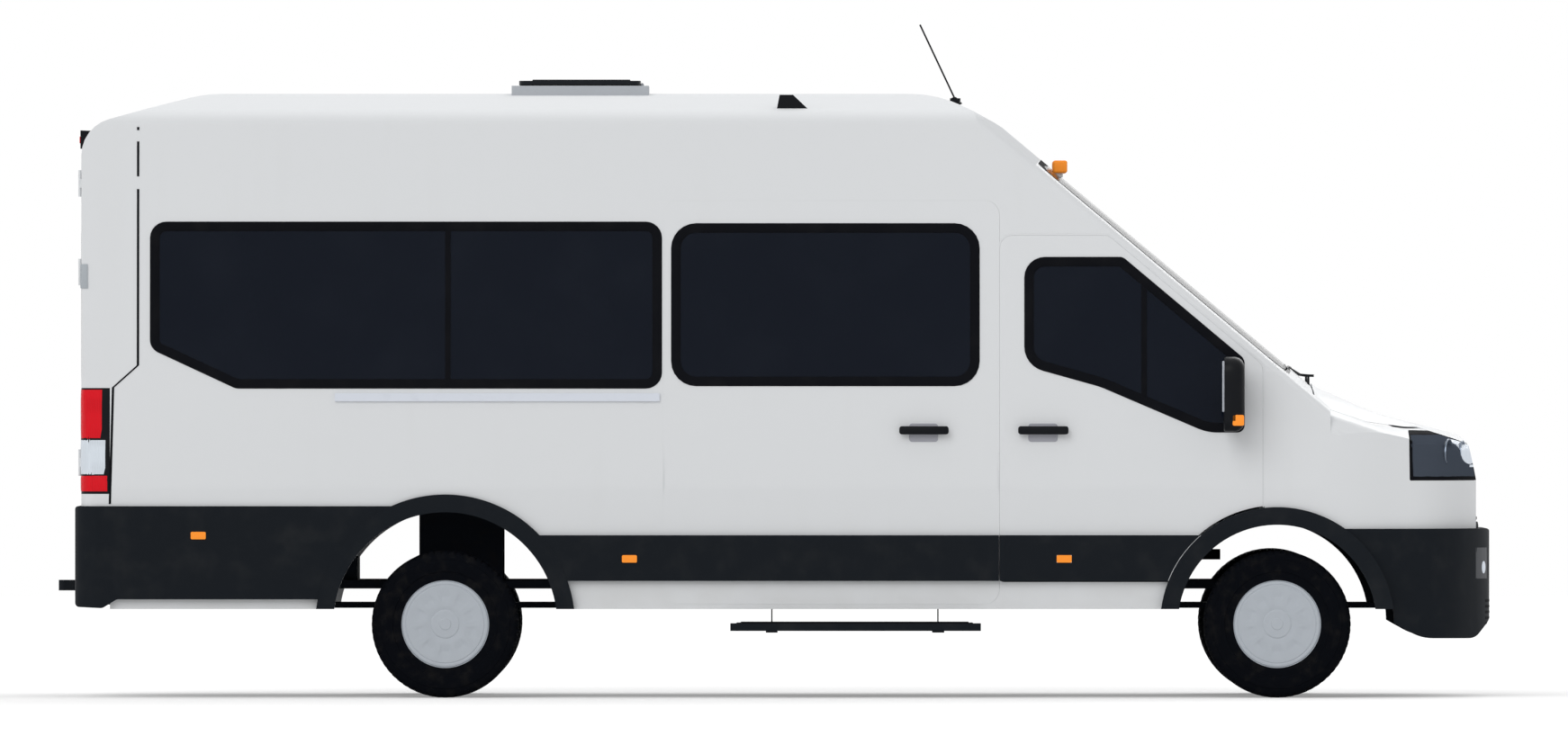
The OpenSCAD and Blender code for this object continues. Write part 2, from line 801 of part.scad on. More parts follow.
module knuckle(s) {
    color(steel_c) {
        translate([front_axle_x, s * pivot_y, arm_z[0] - 8]) cylinder(r = pin_r,
            h = arm_z[1] - arm_z[0] + 52);
        translate([front_axle_x, s * pivot_y, arm_z[0] + 41]) cylinder(r = 32, h = arm_z[1] - arm_z[0] - 46);
        across(front_axle_x, axle_z, spindle_r, s > 0 ? pivot_y : -hub_y - 40, s > 0 ? hub_y + 40 : -pivot_y);
    }
}
module engine() {
    color(steel_c) {
        block(front_axle_x + 460, -330, tray_z + tray_h, front_axle_x + 800, 330, 1060);
    }
}
module fuel_tank() {
    color(dark_c) side_prism(rounded(box_points(rear_axle_x + 1080, 450, rear_axle_x + 1980, 760, 40)),
        rail_y + rail_w / 2 + hub_gap, 880);
}
exhaust_y = 200;
exhaust_z = 640;
module exhaust() {
    color(steel_c) {
        exhaust_pipe(rear_axle_x + 600, rear_axle_x + 2000, 24);
        exhaust_pipe(rear_axle_x + 2000, rear_axle_x + 2560, 90);
        exhaust_pipe(rear_axle_x + 2560, rail_x1 - 100, 24);
        for (x = [rear_axle_x + 920, rear_axle_x + 2720])
            block(x, exhaust_y - 12, rail_z + rail_h, x + 40, exhaust_y + 12, exhaust_z);
    }
}
module exhaust_pipe(x0, x1, r) {
    translate([x0, exhaust_y, exhaust_z]) rotate([0, 90, 0]) cylinder(r = r, h = x1 - x0);
}

// ---- Wheels ----
module tyre(x, s) {
    hw = tyre_w / 2;
    r0 = rim_d / 2;
    r1 = tyre_d / 2;
    color(dark_c) translate([x, s * hub_y, axle_z]) rotate([90, 0, 0]) rotate_extrude($fn = 96)
        polygon(rounded([
            [r0, -hw + 16, 4], [r1 - 62, -hw, 30], [r1 - 14, -hw + 6, 12], [r1, -hw + 24, 20],
            [r1, hw - 24, 20], [r1 - 14, hw - 6, 12], [r1 - 62, hw, 30], [r0, hw - 16, 4]
        ]));
}
// The rim, its disc and the hub that turns on the spindle; s is +1 on the left
module wheel(x, s) {
    hw = tyre_w / 2;
    r0 = rim_d / 2;
    bore = spindle_r + hub_gap;
    color(rim_c) translate([x, s * hub_y, axle_z]) rotate([s * -90, 0, 0]) rotate_extrude($fn = 96)
        polygon(rounded([
            [bore, -60, 0], [70, -60, 5], [70, 20, 8], [r0 - 34, 56, 20], [r0 - 14, 40, 10],
            [r0 - 14, -hw + 22, 4],
            [r0, -hw + 16, 0], [r0, hw - 16, 0], [r0 - 12, hw - 14, 6], [r0 - 24, hw - 26, 16], [90, 76, 30],
            [60, 92, 10], [0, 92, 0], [0, 44, 0], [bore, 44, 0]
        ]));
}

// ---- Cab ----
module dashboard() {
    x1 = door_front_x + shut_gap;
    color(steel_c) difference() {
        union() {
            intersection() {
                body_volume(wall_t + 8);
                side_prism(rounded([
                    [x1 - 330, 1000, 30], [x1 - 150, 860, 60], [x1, 860, 0], [x1, 1300, 0],
                    [x1 - 60, 1370, 60],
                    [x1 - 300, 1290, 60]
                ]), -side_y, side_y);
            }
            on_column() translate([0, 0, -250]) cylinder(r = 45, h = 205);
        }
        on_column() translate([0, 0, -126]) cylinder(r = shaft_r + hub_gap, h = 120);
    }
}
module on_column() {
    translate([column_x, driver_y, column_z]) rotate([0, -90 + wheel_tilt, 0]) children();
}
driver_y = 460;
wheel_tilt = 40;
shaft_r = 20;
column_x = door_front_x - 430;
column_z = 1290;
module steering_wheel() {
    color(dark_c) on_column() {
        rotate_extrude($fn = 72) translate([200, 0]) circle(r = 15, $fn = 24);
        cylinder(r = 60, h = 24, center = true);
        translate([0, 0, -122]) cylinder(r = shaft_r, h = 120);
        for (a = [90, 210, 330]) rotate([0, 0, a]) translate([50, -20, -8]) cube([145, 40, 16]);
    }
}
// Seat rows: [X of the front edge of the cushions, floor height, [middles across]]
seat_w = 430;
seat_rows = [
    [column_x - 190, cab_floor_z, [driver_y, -215, -660]],
    for (i = [0:3]) [side_door_front_x - 480 - 750 * i, floor_z, i == 0 ? [670, 225] : [670, 225, -670]]
];
cushion_z = 330;
module seat_shape(x, z, y) {
    w = seat_w / 2;
    side_prism(rounded([
        [x - 470, z + cushion_z, 20], [x, z + cushion_z + 10, 40], [x, z + cushion_z + 130, 50],
        [x - 430, z + cushion_z + 120, 20], [x - 560, z + cushion_z + 740, 40],
        [x - 660, z + cushion_z + 730, 40],
        [x - 540, z + cushion_z + 30, 40]
    ]), y - w, y + w);
}
module head_shape(x, z, y) {
    side_prism(rounded([
        [x - 670, z + cushion_z + 770, 20], [x - 590, z + cushion_z + 770, 20],
        [x - 600, z + cushion_z + 920, 35],
        [x - 690, z + cushion_z + 920, 35]
    ]), y - 130, y + 130);
    translate([x - 630, y, z + cushion_z + 720]) cylinder(r = 8, h = 60);
}
module seats() {
    color(cloth_c) for (r = seat_rows, y = r[2]) {
        seat_shape(r[0], r[1], y);
        head_shape(r[0], r[1], y);
    }
}
module seat_frames() {
    color(steel_c) for (r = seat_rows, y = r[2]) {
        block(r[0] - 440, y - 150, r[1], r[0] - 80, y + 150, r[1] + cushion_z);
    }
}

// ---- Roof ----
module roof_hatch_frame() {
    color("#a2a6ab") hatch_hinge([-180, -100, 100, 180], hatch_hinge_x - 6, roof_z + 33);
    color("#a2a6ab") difference() {
        block(hatch_x - hatch_l / 2, -hatch_w / 2, roof_z - 40, hatch_x + hatch_l / 2, hatch_w / 2,
            roof_z + 34);
        block(hatch_x - hatch_l / 2 + hatch_hole, -hatch_w / 2 + hatch_hole, roof_z - 100,
            hatch_x + hatch_l / 2 - hatch_hole, hatch_w / 2 - hatch_hole, roof_z + 60);
        body_volume();
    }
}
hatch_hinge_x = hatch_x + hatch_l / 2 - 30;
hatch_hinge_z = roof_z + 41;
module hatch_hinge(ys, x0, z0) {
    for (y = ys) {
        across(hatch_hinge_x, hatch_hinge_z, 6, y - 20 + hub_gap / 2, y + 20 - hub_gap / 2);
        block(x0, y - 20 + hub_gap / 2, z0, hatch_hinge_x + 6, y + 20 - hub_gap / 2, hatch_hinge_z);
    }
}
module roof_hatch_lid() {
    color(dark_c) hatch_hinge([-140, 140], hatch_x + hatch_l / 2 - 50, roof_z + 39);
    color(dark_c) plan_prism(rounded(box_points(hatch_x - hatch_l / 2 + 33, -hatch_w / 2 + 33,
        hatch_x + hatch_l / 2 - 37,
        hatch_w / 2 - 33, 50)), roof_z + 39, roof_z + 57);
}
module roof_aerials() {
    mast_x = top_x - 360;
    color(dark_c) {
        difference() {
            union() {
                translate([mast_x, 0, roof_z - 60]) cylinder(r = 24, h = 40);
                side_prism([
                    [rear_axle_x + 1491, roof_edge_z - 10], [rear_axle_x + 1655, roof_edge_z - 10],
                    [rear_axle_x + 1568, roof_z - 12], [rear_axle_x + 1507, roof_z - 12]
                ], -half_roof + 70, -half_roof + 100);
            }
            body_volume();
        }
        translate([mast_x, 0, roof_z - 26]) rotate([0, -25.2, 0]) cylinder(r = 4, h = 376);
    }
}

// ---- Doors and lids that move ----
module front_door_skin() {
    color(paint_c) difference() {
        intersection() {
            side_walls();
            front_door_hole();
        }
        front_window_hole(-side_y, 0);
    }
    color(clad_c) clad_strip(door_rear_x, clad_z, front_axle_x, clad_top_z);
    color(amber_c) clad_lamp(front_axle_x - 994, 610);
}
module front_door_glass() {
    color(glass_c) intersection() {
        side_walls(glass_t);
        front_window_hole(-side_y, 0);
    }
}
module mirror_shape() {
    x0 = door_front_x - 178;
    color(dark_c) {
        difference() {
            side_prism(rounded(box_points(x0 + 20, 1225, x0 + 80, 1300, 15)), -half_w - 60, -half_w + 30);
            body_volume();
        }
        cross_prism(rounded([
            [-half_w - 235, 1199, 50], [-half_w - 40, 1199, 40], [-half_w - 40, 1537, 60],
            [-half_w - 235, 1537, 70]
        ]), x0, x0 + 93);
    }
}
// Barrels and leaves of the rear door hinges; side is -1 on the frame and 1 on the door
rear_hinge_x = back_x - 8;
rear_hinge_y = -rear_door_w - 6;
rear_hinge_z = [1040, 1900, 2300];
module rear_hinge(side, barrels) {
    for (z = rear_hinge_z, b = barrels) {
        translate([rear_hinge_x, rear_hinge_y, z + b * 40 + hub_gap / 2]) cylinder(r = 7, h = 40 - hub_gap);
        block(rear_hinge_x, side < 0 ? rear_hinge_y - 34 : rear_hinge_y, z + b * 40 + hub_gap / 2,
            back_x, side < 0 ? rear_hinge_y : rear_hinge_y + 34, z + b * 40 + 40 - hub_gap / 2);
    }
}
module rear_door_skin() {
    color(steel_c) rear_hinge(1, [-1, 1]);
    color(paint_c) difference() {
        intersection() {
            shell();
            cross_prism(rounded(box_points(-rear_door_w, rear_door_z, -shut_gap / 2, rear_door_top_z, 40)),
                back_x - 60, back_x + wall_t);
        }
        rear_door_glass_hole();
    }
}
module rear_door_glass() {
    color(glass_c) intersection() {
        shell(0, glass_t);
        rear_door_glass_hole();
    }
}
module bonnet() {
    color(paint_c) {
        intersection() {
            shell();
            bonnet_region();
        }
        bonnet_hinge(scuttle_x, scuttle_x + door_clearance, [-80, 80]);
    }
}
// Leaves and barrels on the bonnet's hinge line, centred at each y
bonnet_axis_z = 1412;
module bonnet_hinge(x0, x1, ys) {
    for (y = ys) {
        block(x0, y - 10 + hub_gap / 2, bonnet_axis_z - 24, x1, y + 10 - hub_gap / 2, bonnet_axis_z);
        across(scuttle_x, bonnet_axis_z, 3.6, y - 10 + hub_gap / 2, y + 10 - hub_gap / 2);
    }
}

side_panel_right();
side_panel_left();
roof_panel();
rear_frame();
front_wings();
bulkhead();
windscreen();
side_windows();
sliding_door();
sliding_door_rail();
floor();
chassis_frame();
front_bumper();
rear_bumper();
side_cladding();
grille();
headlamps();
tail_lamps();
marker_lamps();
side_step();
tow_bar();
rear_axle();
front_suspension();
engine();
fuel_tank();
exhaust();
dashboard();
seat_frames();
seats();
roof_hatch_frame();
roof_aerials();
front_door_skin();  // front_door_right
mirror([0, 1, 0]) front_door_skin();  // front_door_left
front_door_glass();  // front_door_window_right
mirror([0, 1, 0]) front_door_glass();  // front_door_window_left
mirror_shape();  // mirror_right
mirror([0, 1, 0]) mirror_shape();  // mirror_left
rear_door_skin();  // rear_door_right
mirror([0, 1, 0]) rear_door_skin();  // rear_door_left
rear_door_glass();  // rear_door_window_right
mirror([0, 1, 0]) rear_door_glass();  // rear_door_window_left
bonnet();
roof_hatch_lid();
steering_wheel();
knuckle(-1);  // knuckle_right
knuckle(1);  // knuckle_left
tyre(front_axle_x, -1);  // tyre_front_right
tyre(front_axle_x, 1);  // tyre_front_left
tyre(rear_axle_x, -1);  // tyre_rear_right
tyre(rear_axle_x, 1);  // tyre_rear_left
wheel(front_axle_x, -1);  // wheel_front_right
wheel(front_axle_x, 1);  // wheel_front_left
wheel(rear_axle_x, -1);  // wheel_rear_right
wheel(rear_axle_x, 1);  // wheel_rear_left
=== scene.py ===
"""Looks of a long-wheelbase, high-roof passenger minibus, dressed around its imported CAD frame.

Metres, +X forward, +Y to the vehicle's left, +Z up. Places come from the frame: lengthwise ones
are counted forward from the rear axle, heights from the ground. Pieces of the right-hand side are
mirrored for the left.
"""

import functools
import json
import logging
import math
from dataclasses import dataclass
from enum import Enum
from typing import Callable, Sequence

import bmesh
import bpy
from mathutils import Matrix, Vector
from mathutils.bvhtree import BVHTree
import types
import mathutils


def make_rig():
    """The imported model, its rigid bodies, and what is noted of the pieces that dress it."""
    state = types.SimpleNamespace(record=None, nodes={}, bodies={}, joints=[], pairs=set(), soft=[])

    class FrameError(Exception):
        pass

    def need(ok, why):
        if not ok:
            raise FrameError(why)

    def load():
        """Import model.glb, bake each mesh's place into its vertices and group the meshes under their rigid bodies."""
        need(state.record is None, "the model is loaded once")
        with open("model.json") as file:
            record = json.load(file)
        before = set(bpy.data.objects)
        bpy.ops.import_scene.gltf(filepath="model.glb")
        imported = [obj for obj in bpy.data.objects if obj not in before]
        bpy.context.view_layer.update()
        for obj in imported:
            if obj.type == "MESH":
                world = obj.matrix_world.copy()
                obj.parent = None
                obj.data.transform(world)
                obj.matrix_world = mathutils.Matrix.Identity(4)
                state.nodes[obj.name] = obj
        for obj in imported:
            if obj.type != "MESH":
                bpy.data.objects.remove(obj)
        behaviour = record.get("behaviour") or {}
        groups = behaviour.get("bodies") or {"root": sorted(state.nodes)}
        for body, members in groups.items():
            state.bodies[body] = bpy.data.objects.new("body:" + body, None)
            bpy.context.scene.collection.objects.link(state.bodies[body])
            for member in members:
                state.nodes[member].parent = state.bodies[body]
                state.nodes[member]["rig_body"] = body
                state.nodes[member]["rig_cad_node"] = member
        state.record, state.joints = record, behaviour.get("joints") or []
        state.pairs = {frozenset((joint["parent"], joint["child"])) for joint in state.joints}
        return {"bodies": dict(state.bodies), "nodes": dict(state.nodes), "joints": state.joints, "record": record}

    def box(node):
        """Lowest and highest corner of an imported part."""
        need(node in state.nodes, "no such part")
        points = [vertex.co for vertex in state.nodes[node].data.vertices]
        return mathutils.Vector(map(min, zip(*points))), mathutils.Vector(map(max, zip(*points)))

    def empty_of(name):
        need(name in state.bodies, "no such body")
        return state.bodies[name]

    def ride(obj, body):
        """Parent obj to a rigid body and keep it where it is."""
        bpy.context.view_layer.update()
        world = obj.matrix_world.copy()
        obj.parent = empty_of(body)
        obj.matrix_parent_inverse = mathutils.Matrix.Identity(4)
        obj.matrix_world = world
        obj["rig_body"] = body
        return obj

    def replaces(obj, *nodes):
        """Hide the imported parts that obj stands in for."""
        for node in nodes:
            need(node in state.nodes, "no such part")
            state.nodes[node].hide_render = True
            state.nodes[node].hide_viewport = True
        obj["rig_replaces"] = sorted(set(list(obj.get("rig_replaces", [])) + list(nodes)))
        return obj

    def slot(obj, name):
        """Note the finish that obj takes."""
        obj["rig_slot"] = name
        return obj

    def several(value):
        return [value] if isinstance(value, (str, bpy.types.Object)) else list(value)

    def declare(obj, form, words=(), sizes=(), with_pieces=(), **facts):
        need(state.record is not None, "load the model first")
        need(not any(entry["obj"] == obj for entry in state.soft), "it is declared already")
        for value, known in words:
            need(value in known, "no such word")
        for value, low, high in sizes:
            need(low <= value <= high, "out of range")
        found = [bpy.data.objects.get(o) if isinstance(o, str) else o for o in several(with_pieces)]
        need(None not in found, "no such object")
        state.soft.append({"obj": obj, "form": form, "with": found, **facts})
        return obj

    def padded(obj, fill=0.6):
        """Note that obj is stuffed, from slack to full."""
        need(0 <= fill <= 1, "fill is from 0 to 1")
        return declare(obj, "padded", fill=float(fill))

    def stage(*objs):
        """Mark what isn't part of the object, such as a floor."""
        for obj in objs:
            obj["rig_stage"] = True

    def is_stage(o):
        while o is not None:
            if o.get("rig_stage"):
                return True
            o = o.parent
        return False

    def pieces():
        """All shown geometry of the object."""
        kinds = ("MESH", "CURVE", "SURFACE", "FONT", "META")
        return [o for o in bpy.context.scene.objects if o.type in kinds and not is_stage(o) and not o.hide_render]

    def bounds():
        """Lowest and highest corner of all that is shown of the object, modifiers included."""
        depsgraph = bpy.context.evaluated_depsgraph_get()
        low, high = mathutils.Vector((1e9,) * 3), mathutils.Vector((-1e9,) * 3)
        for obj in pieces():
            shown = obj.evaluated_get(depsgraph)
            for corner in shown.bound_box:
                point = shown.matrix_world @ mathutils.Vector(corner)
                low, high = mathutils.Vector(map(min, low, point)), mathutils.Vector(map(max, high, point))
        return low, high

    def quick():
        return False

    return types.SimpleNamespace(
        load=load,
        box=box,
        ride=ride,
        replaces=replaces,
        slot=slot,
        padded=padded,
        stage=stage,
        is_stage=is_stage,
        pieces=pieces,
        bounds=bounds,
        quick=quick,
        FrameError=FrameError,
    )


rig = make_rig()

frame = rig.load()
CAD_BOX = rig.bounds()
log = logging.getLogger("minibus")

Corner = tuple[float, float, float]
Flat = tuple[float, float]
Placer = Callable[[float, float, float], Vector]


class Side(Enum):
    """A side of the vehicle, with the sign of its Y."""

    RIGHT = -1
    LEFT = 1

    @property
    def word(self) -> str:
        """The side's name as the frame spells it."""
        return self.name.lower()


class Slot(Enum):
    """The record's material slots."""

    BODY = "body_paint"
    GLASS = "window_glass"
    PLASTIC = "black_plastic"
    CHASSIS = "chassis_steel"
    RED = "red_lens"
    AMBER = "amber_lens"
    HEADLAMP = "headlamp_lens"
    TYRE = "tyre_rubber"
    WHEEL = "wheel_steel"
    CLOTH = "seat_fabric"
    CAB = "cab_plastic"
    HATCH = "hatch_plastic"


# ---- Shader expressions ----
def linear(code: str) -> tuple[float, float, float, float]:
    """Linear colour of a hex code such as "#d7d9db"."""
    parts = [int(code[i:i + 2], 16) / 255 for i in (1, 3, 5)]
    return (*(c / 12.92 if c < 0.04045 else ((c + 0.055) / 1.055) ** 2.4 for c in parts), 1.0)


class Value:
    """One output socket; arithmetic on it adds Math nodes."""

    def __init__(self, tree: "Tree", socket: bpy.types.NodeSocket) -> None:
        self.tree = tree
        self.socket = socket

    def math(self, operation: str, *operands: "Value | float") -> "Value":
        """A Math node of that operation on the operands."""
        return self.tree.node("ShaderNodeMath", {"operation": operation}, dict(enumerate(operands)))

    def __add__(self, other: "Value | float") -> "Value":
        """Sum."""
        return self.math("ADD", self, other)

    def __mul__(self, other: "Value | float") -> "Value":
        """Product."""
        return self.math("MULTIPLY", self, other)

    __radd__ = __add__
    __rmul__ = __mul__

    def between(self, low: float, high: float) -> "Value":
        """0 at low, 1 at high and a smooth rise between them; low may be the larger."""
        flip = low > high
        settings = {"interpolation_type": "SMOOTHSTEP"}
        inputs = {"Value": self, "From Min": min(low, high), "From Max": max(low, high),
                  "To Min": float(flip), "To Max": float(not flip)}
        return self.tree.node("ShaderNodeMapRange", settings, inputs)


class Tree:
    """The node tree of one material or of the world."""

    def __init__(self, tree: bpy.types.NodeTree) -> None:
        self.tree = tree
        self.tree.nodes.clear()

    def node(self, kind: str, settings: dict | None = None, inputs: dict | None = None,
             output: int | str = 0) -> Value:
        """Adds a node.

        Args:
            kind: The node's type.
            settings: Its properties, set first.
            inputs: Its sockets by name or number, as numbers, colours or Values.
            output: The output to hand back.

        Returns:
            That output.
        """
        made = self.tree.nodes.new(kind)
        for name, setting in (settings or {}).items():
            setattr(made, name, setting)
        for name, given in (inputs or {}).items():
            if isinstance(given, Value):
                self.tree.links.new(given.socket, made.inputs[name])
            else:
                made.inputs[name].default_value = given
        return Value(self, made.outputs[output] if made.outputs else None)

    def place(self, axis: str = "") -> Value:
        """The point on the piece at rest, or one of its coordinates."""
        point = self.node("ShaderNodeTexCoord", output="Object")
        return self.node("ShaderNodeSeparateXYZ", inputs={0: point}, output=axis) if axis else point

    def noise(self, scale: float, detail: float = 2.0, stretch: Corner = (1, 1, 1)) -> Value:
        """Cloudy noise from 0 to 1 with `scale` clouds a metre."""
        point = self.node("ShaderNodeVectorMath", {"operation": "MULTIPLY"}, {0: self.place(), 1: stretch})
        return self.node("ShaderNodeTexNoise", inputs={"Vector": point, "Scale": scale, "Detail": detail})

    def wave(self, axis: str, scale: float, warp: float = 0.0) -> Value:
        """Bands across an axis, `scale` times 2 pi a metre wide."""
        return self.node("ShaderNodeTexWave", {"bands_direction": axis},
                         {"Vector": self.place(), "Scale": scale, "Distortion": warp})

    def mix(self, first: "Value | tuple", second: "Value | tuple", share: Value) -> Value:
        """Colour between two, by share."""
        return self.node("ShaderNodeMix", {"data_type": "RGBA"}, {0: share, 6: first, 7: second}, 2)

    def close(self, base: "Value | tuple", roughness: "Value | float", height: Value | None = None,
              depth: float = 0.001, **constants: "Value | float | tuple") -> None:
        """Ends the tree in a Principled shader.

        Args:
            base: Base colour.
            roughness: Roughness.
            height: Relief from 0 to 1, for the bump.
            depth: Its depth in metres.
            constants: Other sockets, with _ for a space in their names.
        """
        inputs = {"Base Color": base, "Roughness": roughness}
        inputs |= {name.replace("_", " "): given for name, given in constants.items()}
        if height is not None:
            inputs["Normal"] = self.node("ShaderNodeBump", inputs={"Height": height, "Distance": depth,
                                                                  "Strength": 0.6})
        shader = self.node("ShaderNodeBsdfPrincipled", inputs=inputs)
        self.node("ShaderNodeOutputMaterial", inputs={"Surface": shader})


# ---- Finishes ----
@dataclass(frozen=True)
class Finish:
    """A surface finish; each kind writes its own tree."""

    name: str
    colour: str

    def write(self, tree: Tree) -> None:
        """Fills the material's tree."""
        tree.close(linear(self.colour), 0.5, tree.noise(200), 0.0002)

    @functools.cache
    def material(self) -> bpy.types.Material:
        """The finish as a material, made once."""
        made = bpy.data.materials.new(self.name)
        made.use_nodes = True
        self.write(Tree(made.node_tree))
        return made


@dataclass(frozen=True)
class Paint(Finish):
    """Gloss body paint with a painted top light: lighter above a height, as if lit from above, with road dust low down
    and fine orange peel.
    """

    # upper is the lighter colour of the painted top light, standing in for light falling from above.
    upper: str
    lighter_from: float
    lighter_to: float
    dust: float = 0.10
    gloss: float = 0.12

    def write(self, tree: Tree) -> None:
        """Fills the material's tree."""
        height = tree.place("Z")
        # Painted top light: the colour turns lighter over a band of height, standing in for light from above.
        base = tree.mix(linear(self.colour), linear(self.upper),
                        height.between(self.lighter_from, self.lighter_to))
        film = height.between(0.95, 0.42) * tree.noise(5, 4).between(0.3, 0.75) * self.dust
        streaks = tree.noise(7, 3, (1, 1, 0.12)).between(0.55, 0.9) * 0.035
        dirty = tree.mix(base, linear("#a8a498"), film + streaks)
        tree.close(dirty, 0.3 + tree.noise(12, 3) * 0.08 + film * 0.5, tree.noise(260, 1), 0.00012,
                   Specular_IOR_Level=self.gloss, Coat_Weight=self.gloss / 2, Coat_Roughness=0.08)


@dataclass(frozen=True)
class Plastic(Finish):
    """Moulded plastic or rubber with a leathery grain and a dusting of road dirt."""

    grain: float = 420.0
    rough: float = 0.62
    gloss: float = 0.06
    dust: float = 0.04

    def write(self, tree: Tree) -> None:
        """Fills the material's tree."""
        cells = tree.node("ShaderNodeTexVoronoi", inputs={"Vector": tree.place(), "Scale": self.grain})
        cloud = tree.noise(9, 4)
        worn = tree.mix(linear(self.colour), linear("#7d7b76"), cloud.between(0.42, 0.9) * self.dust)
        tree.close(worn, self.rough - 0.12 + cloud * 0.24, cells + 0.5 * tree.noise(self.grain * 2, 1),
                   0.00006, Specular_IOR_Level=self.gloss)


@dataclass(frozen=True)
class Rubber(Finish):
    """Tyre rubber: fine moulding rings on the walls and dust on the tread."""

    def write(self, tree: Tree) -> None:
        """Fills the material's tree."""
        rings = tree.node("ShaderNodeTexWave", {"wave_type": "RINGS", "rings_direction": "Y"},
                          {"Vector": tree.place(), "Scale": 160.0, "Distortion": 0.4})
        cloud = tree.noise(22, 4)
        dusty = tree.mix(linear(self.colour), linear("#5b564d"), cloud.between(0.45, 0.95) * 0.10)
        tree.close(dusty, 0.72 + cloud * 0.16, rings * 0.4 + tree.noise(500, 1), 0.0003,
                   Specular_IOR_Level=0.03)


@dataclass(frozen=True)
class Metal(Finish):
    """Painted or bare metal with fine scratches, and rust or soot where it is old."""

    shine: float = 0.5
    rough: float = 0.4
    stain: str = "#3a3430"
    stained: float = 0.2
    gloss: float = 0.3

    def write(self, tree: Tree) -> None:
        """Fills the material's tree."""
        cloud = tree.noise(14, 5)
        spots = cloud.between(0.5, 0.85) * self.stained
        scratches = tree.noise(120, 2, (0.08, 1, 1))
        tree.close(tree.mix(linear(self.colour), linear(self.stain), spots),
                   self.rough + spots * 0.6 + scratches * 0.1, scratches + 0.6 * tree.noise(340, 1),
                   0.00018, Metallic=self.shine, Specular_IOR_Level=self.gloss)


@dataclass(frozen=True)
class Glass(Finish):
    """Tinted glazing with a faint film of dust; the clear share is how much shows through."""

    clear: float = 0.1
    gloss: float = 0.06
    rough: float = 0.05

    def write(self, tree: Tree) -> None:
        """Fills the material's tree."""
        film = tree.noise(3, 5).between(0.4, 0.9)
        tree.close(tree.mix(linear(self.colour), linear("#3c4048"), film * 0.06), self.rough + film * 0.05,
                   tree.noise(6, 1), 0.0001, Alpha=1 - self.clear + film * 0.03,
                   Specular_IOR_Level=self.gloss)


@dataclass(frozen=True)
class Lens(Finish):
    """Moulded lamp lens with vertical flutes."""

    flutes: float = 42.0
    glow: float = 0.0

    def write(self, tree: Tree) -> None:
        """Fills the material's tree."""
        ribs = tree.wave("X", self.flutes) + tree.wave("Y", self.flutes)
        deep = tuple(0.86 * c for c in linear(self.colour)[:3]) + (1.0,)
        base = tree.mix(deep, linear(self.colour), ribs.between(0.2, 0.9))
        tree.close(base, 0.16 + tree.noise(30, 2) * 0.08, ribs, 0.0008, Specular_IOR_Level=0.08,
                   Emission_Color=linear(self.colour), Emission_Strength=self.glow)


@dataclass(frozen=True)
class Cloth(Finish):
    """Woven seat fabric with a crossed weave and slightly uneven dye."""

    accent: str = "#566174"
    threads: float = 170.0

    def write(self, tree: Tree) -> None:
        """Fills the material's tree."""
        across, along, up = (tree.wave(axis, self.threads, 1.5) for axis in "XYZ")
        weave = across * 0.34 + along * 0.33 + up * 0.33
        fleck = tree.noise(90, 3).between(0.52, 0.7) * 0.6
        base = tree.mix(tree.mix(linear(self.colour), linear(self.accent), fleck), linear("#1c2027"),
                        weave.between(0.75, 0.3) * 0.35)
        tree.close(base, 0.86 + tree.noise(8, 3) * 0.1, weave, 0.0007, Specular_IOR_Level=0.15,
                   Sheen_Weight=0.25)


# Both paints carry the painted top light: lighter from 2.600 m to 2.652 m up, standing in for light from above.
PAINT = Paint("body_gloss_white", "#dcdee0", "#eceef0", 2.600, 2.652)
ROOF_PAINT = Paint("roof_satin_white", "#dcdee0", "#eceef0", 2.600, 2.652, 0.0, 0.0)
CLADDING = Plastic("grained_black_plastic", "#171b20")
GLOSS_BLACK = Plastic("smooth_black_plastic", "#101216", 900, 0.34, 0.10, 0.02)
SEAL = Plastic("weather_seal_rubber", "#111216", 700, 0.74, 0.03, 0.02)
GREY_PLASTIC = Plastic("grey_handle_plastic", "#a4a5ad", 600, 0.5, 0.1)
FOG_RECESS = Plastic("fog_lamp_bowl", "#4d4f53", 500, 0.5, 0.1)
CAB_PLASTIC = Plastic("cab_soft_plastic", "#2b2e33", 300, 0.7, 0.08)
CAB_GREY = Plastic("door_card_plastic", "#5a5d63", 260, 0.8, 0.08)
HATCH_GREY = Plastic("hatch_frame_plastic", "#b0b4b9", 500, 0.5, 0.1)
HATCH_LID = Plastic("hatch_lid_plastic", "#171b20", 700, 0.3, 0.12)
PLATE = Plastic("blank_plate_plastic", "#a4a5ad", 800, 0.4, 0.15, 0.06)
TINTED = Glass("privacy_glass", "#131822", 0.06)
SCREEN_GLASS = Glass("windscreen_glass", "#1b242c", 0.42)
LAMP_GLASS = Glass("headlamp_cover", "#49505b", 0.12, 0.0)
MIRROR_GLASS = Metal("mirror_silver", "#c9d2da", 0.95, 0.06, "#aab2ba", 0.1, 0.5)
REFLECTOR = Metal("lamp_reflector", "#737d8b", 0.7, 0.2, "#59616d", 0.2, 0.3)
RED = Lens("red_lamp_lens", "#dc1a26")
WHITE_LENS = Lens("reversing_lamp_lens", "#dbe3eb")
AMBER = Lens("amber_lamp_lens", "#f08e32", glow=0.25)
DAY_LENS = Lens("day_lamp_lens", "#d6dee8", 60, 0.15)
TRIM = Metal("rail_trim", "#d8dde6", 0.0, 0.42, "#b2b7c0", 0.2, 0.12)
WHEEL_SILVER = Metal("wheel_silver", "#b4bac1", 0.0, 0.5, "#9ba0a6", 0.15, 0.12)
HINGE_GREY = Metal("hinge_grey", "#aab0b5", 0.1, 0.5, "#8d9298", 0.3, 0.12)
CHROME = Metal("headrest_post_chrome", "#b9bec5", 0.9, 0.18, "#8a8f96", 0.1, 0.5)
STEEL = Metal("chassis_coat", "#12161d", 0.05, 0.6, "#2c2620", 0.3, 0.05)
